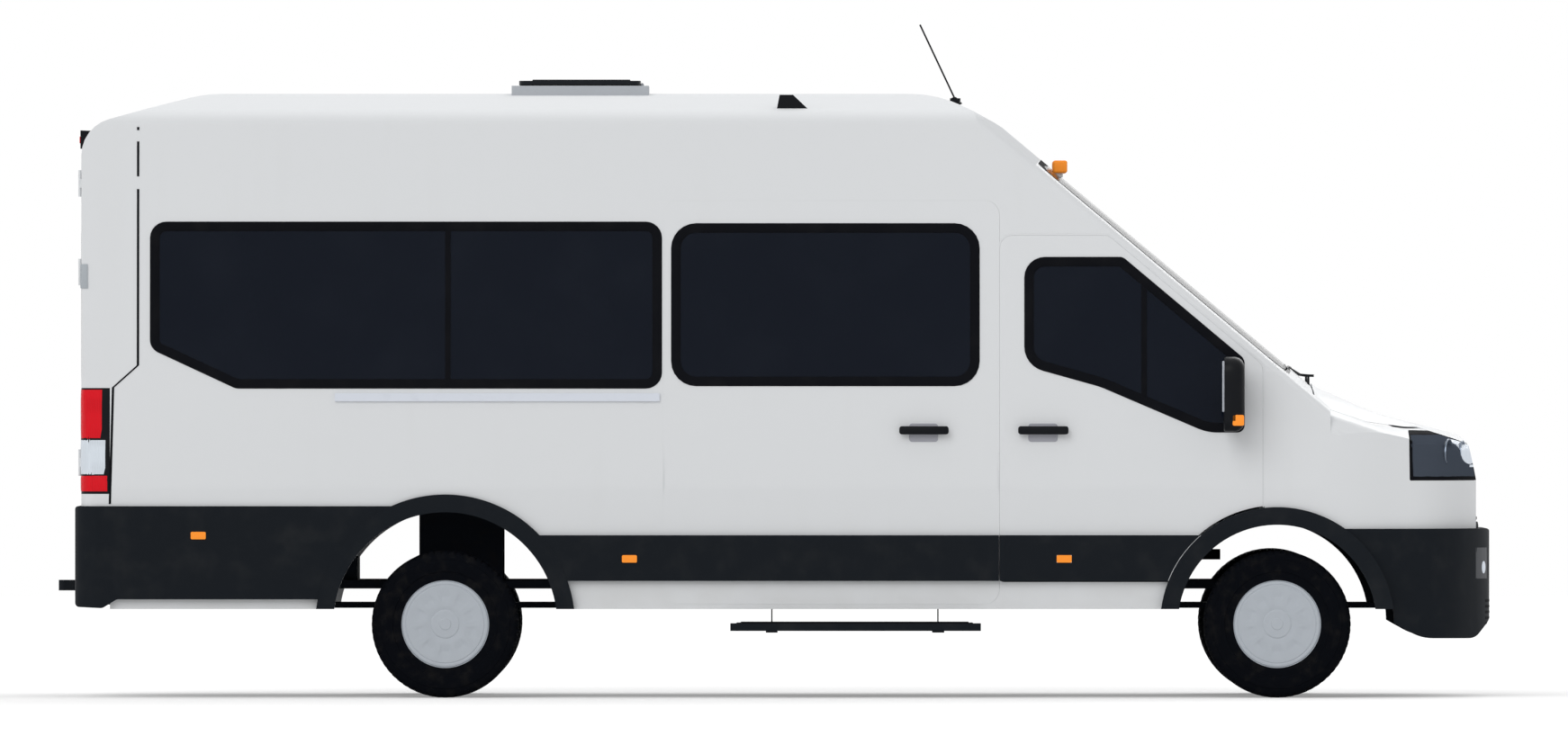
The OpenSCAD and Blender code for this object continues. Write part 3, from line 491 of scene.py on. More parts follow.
ENGINE_CAST = Metal("engine_casting", "#4b4f55", 0.6, 0.5, "#2b2926", 0.5)
TYRE = Rubber("tyre_rubber_black", "#090b10")
SEAT_CLOTH = Cloth("seat_weave", "#3c4350")
PIPING = Plastic("seat_piping_vinyl", "#1d2026", 500, 0.5, 0.1, 0.0)


# ---- Outlines ----
def unit(vector: Vector) -> Vector:
    """The vector at length 1."""
    return vector.normalized()


def neighbours(corners: Sequence[Corner], i: int) -> list[Vector]:
    """The corner before one, the corner itself and the one after it, without their radii."""
    return [Vector(corners[k % len(corners)][:2]) for k in (i - 1, i, i + 1)]


def inset(corners: Sequence[Corner], by: float) -> list[Corner]:
    """A counter-clockwise outline moved inwards, its corner radii kept concentric.

    Args:
        corners: Each corner's two coordinates and radius.
        by: The distance, negative to move outwards.

    Returns:
        The moved corners.
    """
    moved = []
    for i, (*_, radius) in enumerate(corners):
        last, here, after = neighbours(corners, i)
        e1, e2 = unit(here - last), unit(after - here)
        n1, n2 = Vector((-e1.y, e1.x)), Vector((-e2.y, e2.x))
        spot = here + by * (n1 + n2) / (1 + n1.dot(n2))
        convex = e1.cross(e2) > 0
        moved.append((spot.x, spot.y, max(radius - by if convex else radius + by, 0.003)))
    return moved


def rounded(corners: Sequence[Corner], steps: int = 6) -> list[Flat]:
    """The outline's points, with an arc of `steps` pieces at each corner."""
    points = []
    for i, (*_, radius) in enumerate(corners):
        last, here, after = neighbours(corners, i)
        back, ahead = unit(last - here), unit(after - here)
        half = back.angle(ahead) / 2
        centre = here + unit(back + ahead) * radius / math.sin(half)
        spoke = here + back * radius / math.tan(half) - centre
        sweep = (math.pi - 2 * half) * (1 if (-back).cross(ahead) > 0 else -1)
        for k in range(steps + 1):
            points.append(tuple(centre + Matrix.Rotation(sweep * k / steps, 2) @ spoke))
    return points


def divided(path: Sequence[Flat], parts: int, closed: bool = True) -> list[Flat]:
    """The path with each of its stretches cut into parts."""
    ends = [*path[1:], path[0]] if closed else path[1:]
    cut = [(a[0] + (b[0] - a[0]) * k / parts, a[1] + (b[1] - a[1]) * k / parts)
           for a, b in zip(path, ends) for k in range(parts)]
    return cut if closed else [*cut, path[-1]]


def frame_corners(u0: float, v0: float, u1: float, v1: float, radius: float) -> list[Corner]:
    """The corners of a rounded rectangle."""
    return [(u0, v0, radius), (u1, v0, radius), (u1, v1, radius), (u0, v1, radius)]


# ---- Forms ----
BEVEL_ANGLES = (0, 0.4, 0.8, 1.2, math.pi / 2)
ASIDE, AHEAD = 3, 6  # how far outside the vehicle rays start, beside it and beyond its ends


def placed(name: str, data: bpy.types.ID) -> bpy.types.Object:
    """A new object of that data, in the scene."""
    made = bpy.data.objects.new(name, data)
    bpy.context.scene.collection.objects.link(made)
    return made


class Form:
    """Points and faces of a piece while it is made."""

    def __init__(self) -> None:
        self.points: list[Vector] = []
        self.faces: list[tuple[int, ...]] = []

    def loft(self, rings: Sequence[Sequence], closed: bool = False, caps: bool = True) -> "Form":
        """Skins a row of rings that have the same number of points.

        Args:
            rings: Each ring's points, in order.
            closed: Joins the last ring to the first.
            caps: Closes the two ends of an open row.

        Returns:
            This form.
        """
        base, n, count = len(self.points), len(rings[0]), len(rings)
        self.points += [Vector(p) for ring in rings for p in ring]
        for i in range(count if closed else count - 1):
            a, b = base + i * n, base + (i + 1) % count * n
            self.faces += [(a + k, a + (k + 1) % n, b + (k + 1) % n, b + k) for k in range(n)]
        if caps and not closed:
            self.faces += [tuple(range(start, start + n)) for start in (base, base + (count - 1) * n)]
        return self

    def slab(self, spot: Placer, us: Sequence[float], vs: Sequence[float], top: float, bottom: float,
             edge: float = 0.0) -> "Form":
        """A sheet with thickness over a stretch of a surface.

        Args:
            spot: Gives the point at (u, v) and a height above the surface.
            us: Stations along u.
            vs: Stations along v.
            top: Height of its top.
            bottom: Height of its underside.
            edge: How much lower the top lies along its rim.

        Returns:
            This form.
        """
        def station(u: float, rim: bool) -> list[Vector]:
            """The closed section at one u."""
            drop = [edge if rim or v in (vs[0], vs[-1]) else 0.0 for v in vs]
            over = [spot(u, v, top - d) for v, d in zip(vs, drop)]
            return over + [spot(u, v, bottom) for v in reversed(vs)]

        rings = [station(u, u in (us[0], us[-1])) for u in us]
        base, n, half = len(self.points), len(rings[0]), len(vs)
        self.loft(rings, caps=False)
        for start in (base, base + (len(rings) - 1) * n):
            self.faces += [(start + k, start + k + 1, start + n - 2 - k, start + n - 1 - k)
                           for k in range(half - 1)]
        return self

    def band(self, spot: Placer, outer: Sequence[Flat], inner: Sequence[Flat],
             profile: Sequence[Flat]) -> "Form":
        """A ring between two outlines of a surface.

        Args:
            spot: Gives the point at (u, v) and a height above the surface.
            outer: Its outer outline.
            inner: Its inner outline, point for point.
            profile: Its closed section: shares of the way inwards, and heights.

        Returns:
            This form.
        """
        rings = [[spot(a[0] + (b[0] - a[0]) * t, a[1] + (b[1] - a[1]) * t, h) for t, h in profile]
                 for a, b in zip(outer, inner)]
        return self.loft(rings, closed=True)

    def border(self, spot: Placer, corners: Sequence[Corner], beyond: float, within: float,
               profile: Sequence[Flat]) -> "Form":
        """A band that runs from outside an outline to inside it."""
        return self.band(spot, rounded(inset(corners, -beyond)), rounded(inset(corners, within)), profile)

    def tile(self, spot: Placer, place: Sequence[float], low: float, high: float,
             bevel: float) -> "Form":
        """A raised rounded rectangle; the place is as `frame_corners` takes it."""
        return self.prism(spot, frame_corners(*place), low, high, bevel)

    def prism(self, spot: Placer, corners: Sequence[Corner], low: float, high: float, bevel: float,
              steps: int = 6) -> "Form":
        """A raised shape of an outline, with its top and bottom edges rounded."""
        curve = [(bevel * (1 - math.cos(a)), bevel * (1 - math.sin(a))) for a in BEVEL_ANGLES]
        stack = [(i, low + h) for i, h in reversed(curve)] + [(i, high - h) for i, h in curve]
        rings = [[spot(u, v, h) for u, v in rounded(inset(corners, i), steps)] for i, h in stack]
        return self.loft(rings)

    def strip(self, spot: Placer, outer: Sequence[Flat], inner: Sequence[Flat], top: float,
              bottom: float) -> "Form":
        """A strip between two open outlines of a surface, from one height to another."""
        return self.loft([[spot(*a, top), spot(*b, top), spot(*b, bottom), spot(*a, bottom)]
                          for a, b in zip(outer, inner)])

    def lathe(self, profile: Sequence[Flat], centre: Vector, axis: Vector, steps: int = 48,
              shift: Callable[[int, int], float] = lambda point, step: 0.0) -> "Form":
        """Turns a closed section about an axis.

        Args:
            profile: Its points as (radius, distance along the axis).
            centre: The axis's zero.
            axis: Its direction.
            steps: Divisions round it.
            shift: Change of radius at a point of the profile and a division.

        Returns:
            This form.
        """
        along = unit(Vector(axis))
        side = along.orthogonal().normalized()
        rings = []
        for k in range(steps):
            spoke = Matrix.Rotation(math.tau * k / steps, 3, along) @ side
            rings.append([Vector(centre) + spoke * max(r + shift(i, k), 0.0004) + along * h
                          for i, (r, h) in enumerate(profile)])
        return self.loft(rings, closed=True)

    def rod(self, path: Sequence[Sequence[float]], radius: float | Sequence[float],
            sides: int = 12) -> "Form":
        """A round bar along a path, of one radius or one for each point."""
        path = [Vector(p) for p in path]
        radii = radius if isinstance(radius, Sequence) else [radius] * len(path)
        up = unit(path[1] - path[0]).orthogonal().normalized()
        rings = []
        for i, (here, r) in enumerate(zip(path, radii)):
            ahead = unit(path[min(i + 1, len(path) - 1)] - path[max(i - 1, 0)])
            up = unit(up - ahead * up.dot(ahead))
            across = ahead.cross(up)
            rings.append([here + r * (math.cos(a) * up + math.sin(a) * across)
                          for a in (math.tau * k / sides for k in range(sides))])
        return self.loft(rings)

    def block(self, low: Sequence[float], high: Sequence[float], radius: float) -> "Form":
        """A box with all its edges rounded."""
        x0, y0, z0 = low
        x1, y1, z1 = high
        return self.prism(lambda u, v, h: Vector((u, v, h)), frame_corners(x0, y0, x1, y1, radius * 1.2),
                          z0, z1, radius)

    def mirrored(self, side: Side) -> "Form":
        """The form as it is for the right-hand side, or its mirror image for the left."""
        made = Form()
        made.points = [Vector((p.x, -side.value * p.y, p.z)) for p in self.points]
        made.faces = self.faces
        return made

    def mesh(self, name: str, weld: float = 0.0) -> bpy.types.Mesh:
        """The form as a mesh that faces outwards, with points nearer than `weld` made one."""
        made = bpy.data.meshes.new(name)
        made.from_pydata(self.points, [], self.faces)
        work = bmesh.new()
        work.from_mesh(made)
        if weld:
            bmesh.ops.remove_doubles(work, verts=work.verts, dist=weld)
        bmesh.ops.recalc_face_normals(work, faces=work.faces)
        work.to_mesh(made)
        work.free()
        return made

    def pair(self, name: str, finish: Finish, body: str = "root",
             slot: Slot | None = None) -> list[bpy.types.Object]:
        """Makes the form and its mirror image; each side's word ends their names and moving bodies."""
        return [self.mirrored(side).piece(f"{name}_{side.word}", finish,
                                          body if body == "root" else f"{body}_{side.word}", slot)
                for side in Side]

    def piece(self, name: str, finish: Finish, body: str = "root", slot: Slot | None = None,
              sharp: float = 40.0) -> bpy.types.Object:
        """Makes the form an object that rides on a CAD body.

        Args:
            name: The piece's name.
            finish: Its finish.
            body: The CAD body that it moves with.
            slot: The record's material slot.
            sharp: Edges that turn more than this, in degrees, stay crisp.

        Returns:
            The object.
        """
        mesh = self.mesh(name, 1e-6)
        mesh.shade_smooth()
        mesh.set_sharp_from_angle(angle=math.radians(sharp))
        mesh.materials.append(finish.material())
        made = placed(name, mesh)
        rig.ride(made, body)
        if slot:
            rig.slot(made, slot.value)
        log.info("%s rides on %s", name, body)
        return made


class Skin:
    """The outside of some CAD nodes at rest, found by rays."""

    def __init__(self, *nodes: str) -> None:
        points: list[Vector] = []
        faces: list[list[int]] = []
        for name in nodes:
            mesh = frame["nodes"][name].data
            base = len(points)
            points += [v.co.copy() for v in mesh.vertices]
            faces += [[base + i for i in p.vertices] for p in mesh.polygons]
        self.tree = BVHTree.FromPolygons(points, faces)

    def ray(self, origin: Sequence[float], direction: Sequence[float]) -> tuple[Vector, Vector] | None:
        """The first point a ray meets and the normal there, towards its origin."""
        hit, normal, _, _ = self.tree.ray_cast(Vector(origin), Vector(direction))
        if hit is None:
            return None
        return hit, -normal if normal.dot(Vector(direction)) > 0 else normal

    def onto(self, plane: str) -> Placer:
        """A placer that drops points onto the skin.

        Args:
            plane: "side" takes (x, z) onto the right-hand side, "front" and "rear" take (y, z), and
                "top" takes (x, y).

        Returns:
            The placer, whose third number is the height above the skin.
        """
        aims = {"side": (lambda u, v: (u, -ASIDE, v), (0, 1, 0)),
                "front": (lambda u, v: (AHEAD, u, v), (-1, 0, 0)),
                "rear": (lambda u, v: (-AHEAD, u, v), (1, 0, 0)),
                "top": (lambda u, v: (u, v, AHEAD), (0, 0, -1))}
        start, way = aims[plane]

        def spot(u: float, v: float, h: float) -> Vector:
            """The point over (u, v) at height h."""
            found = self.ray(start(u, v), way)
            if found is None:
                raise ValueError(f"no skin under ({u:.3f}, {v:.3f}) on the {plane}")
            return found[0] + found[1] * h

        return spot

    def outline(self, plane: str, centre: Flat, count: int = 96, reach: float = 1.6) -> list[Flat]:
        """The edge of what a placer of that plane can reach, round a centre."""
        spot, edge, halvings, inside = self.onto(plane), [], 16, 0.999
        for k in range(count):
            way = (math.cos(math.tau * k / count), math.sin(math.tau * k / count))
            near, far = 0.0, reach
            for _ in range(halvings):
                half = (near + far) / 2
                try:
                    spot(centre[0] + way[0] * half, centre[1] + way[1] * half, 0.0)
                    near = half
                except ValueError:
                    far = half
            edge.append(tuple(c + w * near * inside for c, w in zip(centre, way)))
        return edge


class Wrap:
    """A patch of skin that wraps round a corner: u runs along it from 0 to 1, v is the height."""

    RAYS = 240
    MARKS = 80

    def __init__(self, skin: Skin, pivot: Flat, turn: Flat, heights: Sequence[float],
                 keep: Callable[[Vector], bool], columns: int = 40) -> None:
        """Measures the patch.

        Args:
            skin: The skin that it lies on.
            pivot: The upright axis inside the corner that the rays aim at.
            turn: The first and last direction from the pivot, in degrees from +X.
            heights: Its rows, from the bottom up.
            keep: Says whether a point belongs to the patch.
            columns: How finely each row is divided.
        """
        self.heights, self.rows, self.columns = list(heights), [], columns
        for z in heights:
            line = []
            for k in range(self.RAYS + 1):
                a = math.radians(turn[0] + (turn[1] - turn[0]) * k / self.RAYS)
                way = Vector((math.cos(a), math.sin(a), 0))
                found = skin.ray(Vector((*pivot, z)) + ASIDE * way, -way)
                if found and keep(found[0]):
                    line.append(found)
            self.rows.append(self.even(line, columns))

    @staticmethod
    def even(line: list[tuple[Vector, Vector]], columns: int) -> list[tuple[Vector, Vector]]:
        """The line's points spaced evenly along it, with softened normals."""
        ways = [0.0]
        for (a, _), (b, _) in zip(line, line[1:]):
            ways.append(ways[-1] + (b - a).length)
        spaced, i = [], 0
        for k in range(columns + 1):
            goal = ways[-1] * k / columns
            while i < len(ways) - 2 and ways[i + 1] < goal:
                i += 1
            t = (goal - ways[i]) / max(ways[i + 1] - ways[i], 1e-9)
            near = [line[min(max(i + d, 0), len(line) - 1)][1] for d in range(-4, 6)]
            spaced.append((line[i][0].lerp(line[i + 1][0], t), unit(sum(near, Vector()))))
        return spaced

    def spot(self, u: float, v: float, h: float) -> Vector:
        """The point at share u and height v, h above the skin."""
        heights = self.heights
        j = max(i for i in range(len(heights) - 1) if heights[i] <= v or i == 0)
        t = min(max((v - heights[j]) / (heights[j + 1] - heights[j]), 0.0), 1.0)
        place = min(max(u, 0.0), 1.0) * self.columns
        k = min(int(place), self.columns - 1)
        found = [row[k][0].lerp(row[k + 1][0], place - k) + row[k][1].lerp(row[k + 1][1], place - k) * h
                 for row in (self.rows[j], self.rows[j + 1])]
        return found[0].lerp(found[1], t)

    def share(self, v: float, along: Callable[[Vector], float], goal: float) -> float:
        """The u at which a measure of the point first passes a goal, at height v."""
        n = self.MARKS
        marks = [along(self.spot(k / n, v, 0.0)) - goal for k in range(n + 1)]
        return next((k / n for k in range(n) if marks[k] * marks[k + 1] <= 0), 1.0)


def steps(start: float, stop: float, count: int) -> list[float]:
    """Evenly spaced numbers, both ends included."""
    return [start + (stop - start) * k / count for k in range(count + 1)]


def islands(node: str) -> list[tuple[Vector, Vector]]:
    """The boxes of a CAD node's separate solids, from the rear forward."""
    work = bmesh.new()
    work.from_mesh(frame["nodes"][node].data)
    bmesh.ops.remove_doubles(work, verts=work.verts, dist=1e-5)
    boxes, seen = [], set()
    for seed in work.verts:
        if seed in seen:
            continue
        heap, group = [seed], []
        seen.add(seed)
        while heap:
            here = heap.pop()
            group.append(here.co.copy())
            for edge in here.link_edges:
                other = edge.other_vert(here)
                if other not in seen:
                    seen.add(other)
                    heap.append(other)
        boxes.append((Vector(map(min, *group)), Vector(map(max, *group))))
    work.free()
    return sorted(boxes, key=lambda b: (round(b[0].x, 2), b[0].y))


@dataclass(frozen=True)
class Places:
    """Reference places of the vehicle, read from the frame."""

    rear_axle: float
    front_axle: float
    axle_z: float
    tail: float
    nose: float
    half_w: float
    roof: float

    @staticmethod
    def measured() -> "Places":
        """The places of this frame."""
        rear, front = ((lo + hi) / 2 for lo, hi in (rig.box("tyre_rear_right"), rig.box("tyre_front_right")))
        return Places(rear.x, front.x, rear.z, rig.box("tail_lamps")[0].x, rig.box("headlamps")[1].x,
                      -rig.box("side_panel_right")[0].y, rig.box("roof_panel")[1].z)

    def at(self, s: float) -> float:
        """X of a place s forward of the rear axle."""
        return self.rear_axle + s

    def outer(self, x: float, z: float, h: float) -> Vector:
        """The point h outside the upper, flat part of the right-hand wall."""
        low, high = wall_line()
        t = (z - low.z) / (high.z - low.z)
        y = low.y + (high.y - low.y) * t
        lean = Vector((0, -(high.z - low.z), high.y - low.y)).normalized()
        return Vector((x, y, z)) + lean * h

    @staticmethod
    def wall(x: float, z: float, h: float) -> Vector:
        """The point h outside the right-hand wall at any height."""
        step = 0.002
        here, above = wall_y(round(z, 4)), wall_y(round(z + step, 4))
        return Vector((x, here, z)) + unit(Vector((0, -step, above - here))) * h

    def rear(self, y: float, z: float, h: float) -> Vector:
        """The point h behind the flat rear face."""
        return Vector((self.tail - h, y, z))


WALL_FOOT, WALL_TOP = 0.44, 2.56  # heights between which the wall can be measured


@functools.cache
def wall_line() -> tuple[Vector, Vector]:
    """A low and a high point of the flat part of the right-hand wall."""
    skin = Skin("side_panel_right")
    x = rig.box("sliding_door")[0].x - 0.006
    return tuple(skin.ray((x - 0.01, -ASIDE, z), (0, 1, 0))[0] for z in (1.20, 2.30))


@functools.cache
def wall_y(z: float) -> float:
    """Y of the right-hand wall at a height, where it is furthest out."""
    skin = wall_skin()
    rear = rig.box("sliding_door")[0].x
    level = min(max(z, WALL_FOOT), WALL_TOP)
    hits = [skin.ray((rear + shift, -ASIDE, level), (0, 1, 0)) for shift in (0.014, 0.3, -0.3, -0.0145)]
    return min(hit[0].y for hit in hits if hit)


@functools.cache
def wall_skin() -> Skin:
    """The skin of the right-hand wall."""
    return Skin("side_panel_right", "sliding_door")


P = Places.measured()
COWL_X, COWL_Z = P.front_axle + 0.150, 1.420  # the windscreen's foot
SCREEN_SLOPE = math.tan(math.radians(40))


# ---- CAD nodes that keep their own shape ----
class Panels:
    """The CAD nodes that stay in view, each with its finish."""

    WELD = 2e-5
    CRISP = 32  # degrees
    FINISHES: dict[Finish, tuple[str, ...]] = {
        PAINT: ("side_panel_right", "side_panel_left", "rear_frame", "front_wings", "bulkhead", "bonnet",
                "sliding_door", "front_door_right", "front_door_left", "rear_door_right", "rear_door_left"),
        ROOF_PAINT: ("roof_panel",),
        CLADDING: ("front_bumper", "rear_bumper", "side_cladding", "side_step", "tow_bar", "fuel_tank"),
        TINTED: ("side_windows", "front_door_window_right", "front_door_window_left",
                 "rear_door_window_right", "rear_door_window_left"),
        SCREEN_GLASS: ("windscreen",),
        TRIM: ("sliding_door_rail",),
        STEEL: ("chassis_frame", "rear_axle", "front_suspension", "exhaust", "floor", "knuckle_right",
                "knuckle_left"),
        ENGINE_CAST: ("engine",),
        CAB_PLASTIC: ("dashboard", "steering_wheel"),
        HATCH_GREY: ("roof_hatch_frame",),
        HATCH_LID: ("roof_hatch_lid",),
        GLOSS_BLACK: ("roof_aerials",),
        WHEEL_SILVER: ("wheel_front_right", "wheel_front_left", "wheel_rear_right", "wheel_rear_left"),
    }

    def build(self) -> None:
        """Dresses every node and smooths its shading."""
        for finish, names in self.FINISHES.items():
            for name in names:
                self.dress(frame["nodes"][name], finish)

    @staticmethod
    def dress(node: bpy.types.Object, finish: Finish) -> None:
        """Gives a CAD node its finish, and smooth shading that keeps its flats flat."""
        for slot in node.material_slots:
            slot.material = finish.material()
        mesh = node.data
        if mesh.has_custom_normals:
            mesh.attributes.remove(mesh.attributes["custom_normal"])
        mesh.shade_smooth()
        edges = mesh.attributes.get("sharp_edge")
        if edges:
            mesh.attributes.remove(edges)
        node.modifiers.new("weld", "WELD").merge_threshold = Panels.WELD
        split = node.modifiers.new("crisp_edges", "EDGE_SPLIT")
        split.split_angle = math.radians(Panels.CRISP)
        split.use_edge_sharp = False
        node.modifiers.new("flat_faces", "WEIGHTED_NORMAL").weight = 100
        log.info("%s wears %s", node.name, finish.name)


@dataclass
class SideWindows:
    """Black rubber frames, and the bars that divide the panes."""

    sill: float = 1.397
    head: float = 2.144
    frame_w: float = 0.040
    lip: float = 0.003
    proud: float = 0.005
    bar_w: float = 0.024

    def rear_pane(self) -> list[Corner]:
        """Outline of the long rear window."""
        back, front = P.at(-1.328), P.at(0.974)
        return [(P.at(-0.943), self.sill, 0.060), (front, self.sill, 0.070), (front, self.head, 0.070),
                (back, self.head, 0.070), (back, self.sill + 0.179, 0.060)]

    def middle_pane(self) -> list[Corner]:
        """Outline of the sliding door's window."""
        low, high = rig.box("sliding_door")
        return frame_corners(low.x + 0.030, self.sill + 0.011, high.x - 0.085, self.head - 0.007, 0.110)

    def door_pane(self) -> list[Corner]:
        """Outline of a front door's window."""
        low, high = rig.box("front_door_window_right")
        top = high.z
        return [(low.x, 1.500, 0.110), (low.x + 0.340, 1.405, 0.380), (high.x - 0.165, low.z, 0.230),
                (high.x, low.z, 0.030), (high.x, self.screen_line(high.x), 0.040),
                (high.x - (top - self.screen_line(high.x)) / SCREEN_SLOPE, top, 0.040),
                (low.x, top, 0.090)]

    @staticmethod
    def screen_line(x: float) -> float:
        """Height of the door window's sloping edge at x."""
        return COWL_Z + (COWL_X - 0.173 - x) * SCREEN_SLOPE

    def surround(self, corners: list[Corner]) -> Form:
        """The frame round one pane."""
        up = self.proud
        section = [(0, -0.002), (0, up * 0.4), (0.06, up), (0.86, up), (1, up * 0.3), (1, -0.002)]
        return Form().border(P.outer, corners, self.lip, self.frame_w, section)

    def bar(self, form: Form, x: float, z0: float, z1: float) -> None:
        """Adds an upright bar between two panes."""
        half = self.bar_w / 2
        form.tile(P.outer, (x - half, z0, x + half, z1, 0.004), -0.002, 0.0035, 0.0015)

    def build(self) -> None:
        """Frames every window of both sides."""
        rear = self.surround(self.rear_pane())
        self.bar(rear, P.at(0.012), self.sill + 0.036, self.head - 0.036)
        rear.pair("window_frame_rear", SEAL, "root", Slot.PLASTIC)
        self.surround(self.middle_pane()).pair("window_frame_middle", SEAL, "root", Slot.PLASTIC)
        door = self.surround(self.door_pane())
        self.bar(door, P.at(3.150), 1.345, 1.885)
        door.pair("window_frame_front", SEAL, "front_door", Slot.PLASTIC)


@dataclass
class Handles:
    """Pull handles of the side doors, each a black bar over a grey plate."""

    bar_z: float = 1.2045
    bar_h: float = 0.037
    plate_h: float = 0.083
    reach: float = 0.042

    # Both ends of the bar, then of the plate, forward of the rear axle.
    SLIDING = (2.046, 2.269, 2.091, 2.221)
    FRONT = (2.582, 2.809, 2.628, 2.760)

    def handle(self, x0: float, x1: float, plate0: float, plate1: float) -> tuple[Form, Form]:
        """The bar with its feet, and the dished plate behind it."""
        z, half, tall = self.bar_z, self.bar_h / 2, self.plate_h / 2
        bar = Form().tile(P.outer, (x0, z - half, x1, z + half, 0.012), self.reach - 0.020, self.reach, 0.006)
        for x in (x0 + 0.016, x1 - 0.044):
            bar.tile(P.outer, (x, z - 0.012, x + 0.028, z + 0.012, 0.008), -0.002, self.reach - 0.014, 0.003)
        dish = (plate0, z - 0.009 - tall, plate1, z - 0.009 + tall, 0.014)
        return bar, Form().tile(P.outer, dish, -0.003, 0.004, 0.002)

    def build(self) -> None:
        """Makes the handles of the sliding door and of both front doors."""
        bar, plate = self.handle(*map(P.at, self.SLIDING))
        bar.piece("sliding_door_handle", GLOSS_BLACK, "root", Slot.PLASTIC)
        plate.piece("sliding_door_handle_plate", GREY_PLASTIC)
        bar, plate = self.handle(*map(P.at, self.FRONT))
        bar.pair("front_door_handle", GLOSS_BLACK, "front_door", Slot.PLASTIC)
        plate.pair("front_door_handle_plate", GREY_PLASTIC, "front_door")


@dataclass
class TailLamps:
    """Upright rear lamp clusters that wrap round the rear corners."""

    bottom: float = 0.919
    top: float = 1.397
    inner_y: float = 0.890
    reach: float = 0.1295

    # Name, finish, slot, lower and upper edge, reach forward from the tail.
    LENSES = (("stop", RED, Slot.RED, 1.168, 1.389, 0.096),
              ("reversing", WHITE_LENS, None, 1.006, 1.164, 0.110),
              ("fog", RED, Slot.RED, 0.931, 1.002, 0.120))

    def build(self) -> None:
        """Makes the housing and the three lenses of each side."""
        wrap = Wrap(Skin("tail_lamps"), (P.tail + 0.20, -0.80), (180, 270),
                    steps(self.bottom + 0.0005, self.top - 0.0005, 8),
                    lambda p: p.x <= P.tail + self.reach and p.y <= -self.inner_y - 0.0005)
        housing = Form().slab(wrap.spot, steps(0, 1, 32), steps(self.bottom, self.top, 8),
                              0.002, -0.055, 0.002)
        made, _ = housing.pair("tail_lamp_housing", GLOSS_BLACK, "root", Slot.PLASTIC)
        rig.replaces(made, "tail_lamps")
        for word, finish, slot, z0, z1, reach in self.LENSES:
            end = wrap.share((z0 + z1) / 2, lambda p: p.x, P.tail + reach)
            lens = Form().slab(wrap.spot, steps(0.03, end, 24), steps(z0, z1, 5), 0.0034, -0.002, 0.0015)
            lens.pair(f"{word}_lamp", finish, "root", slot)


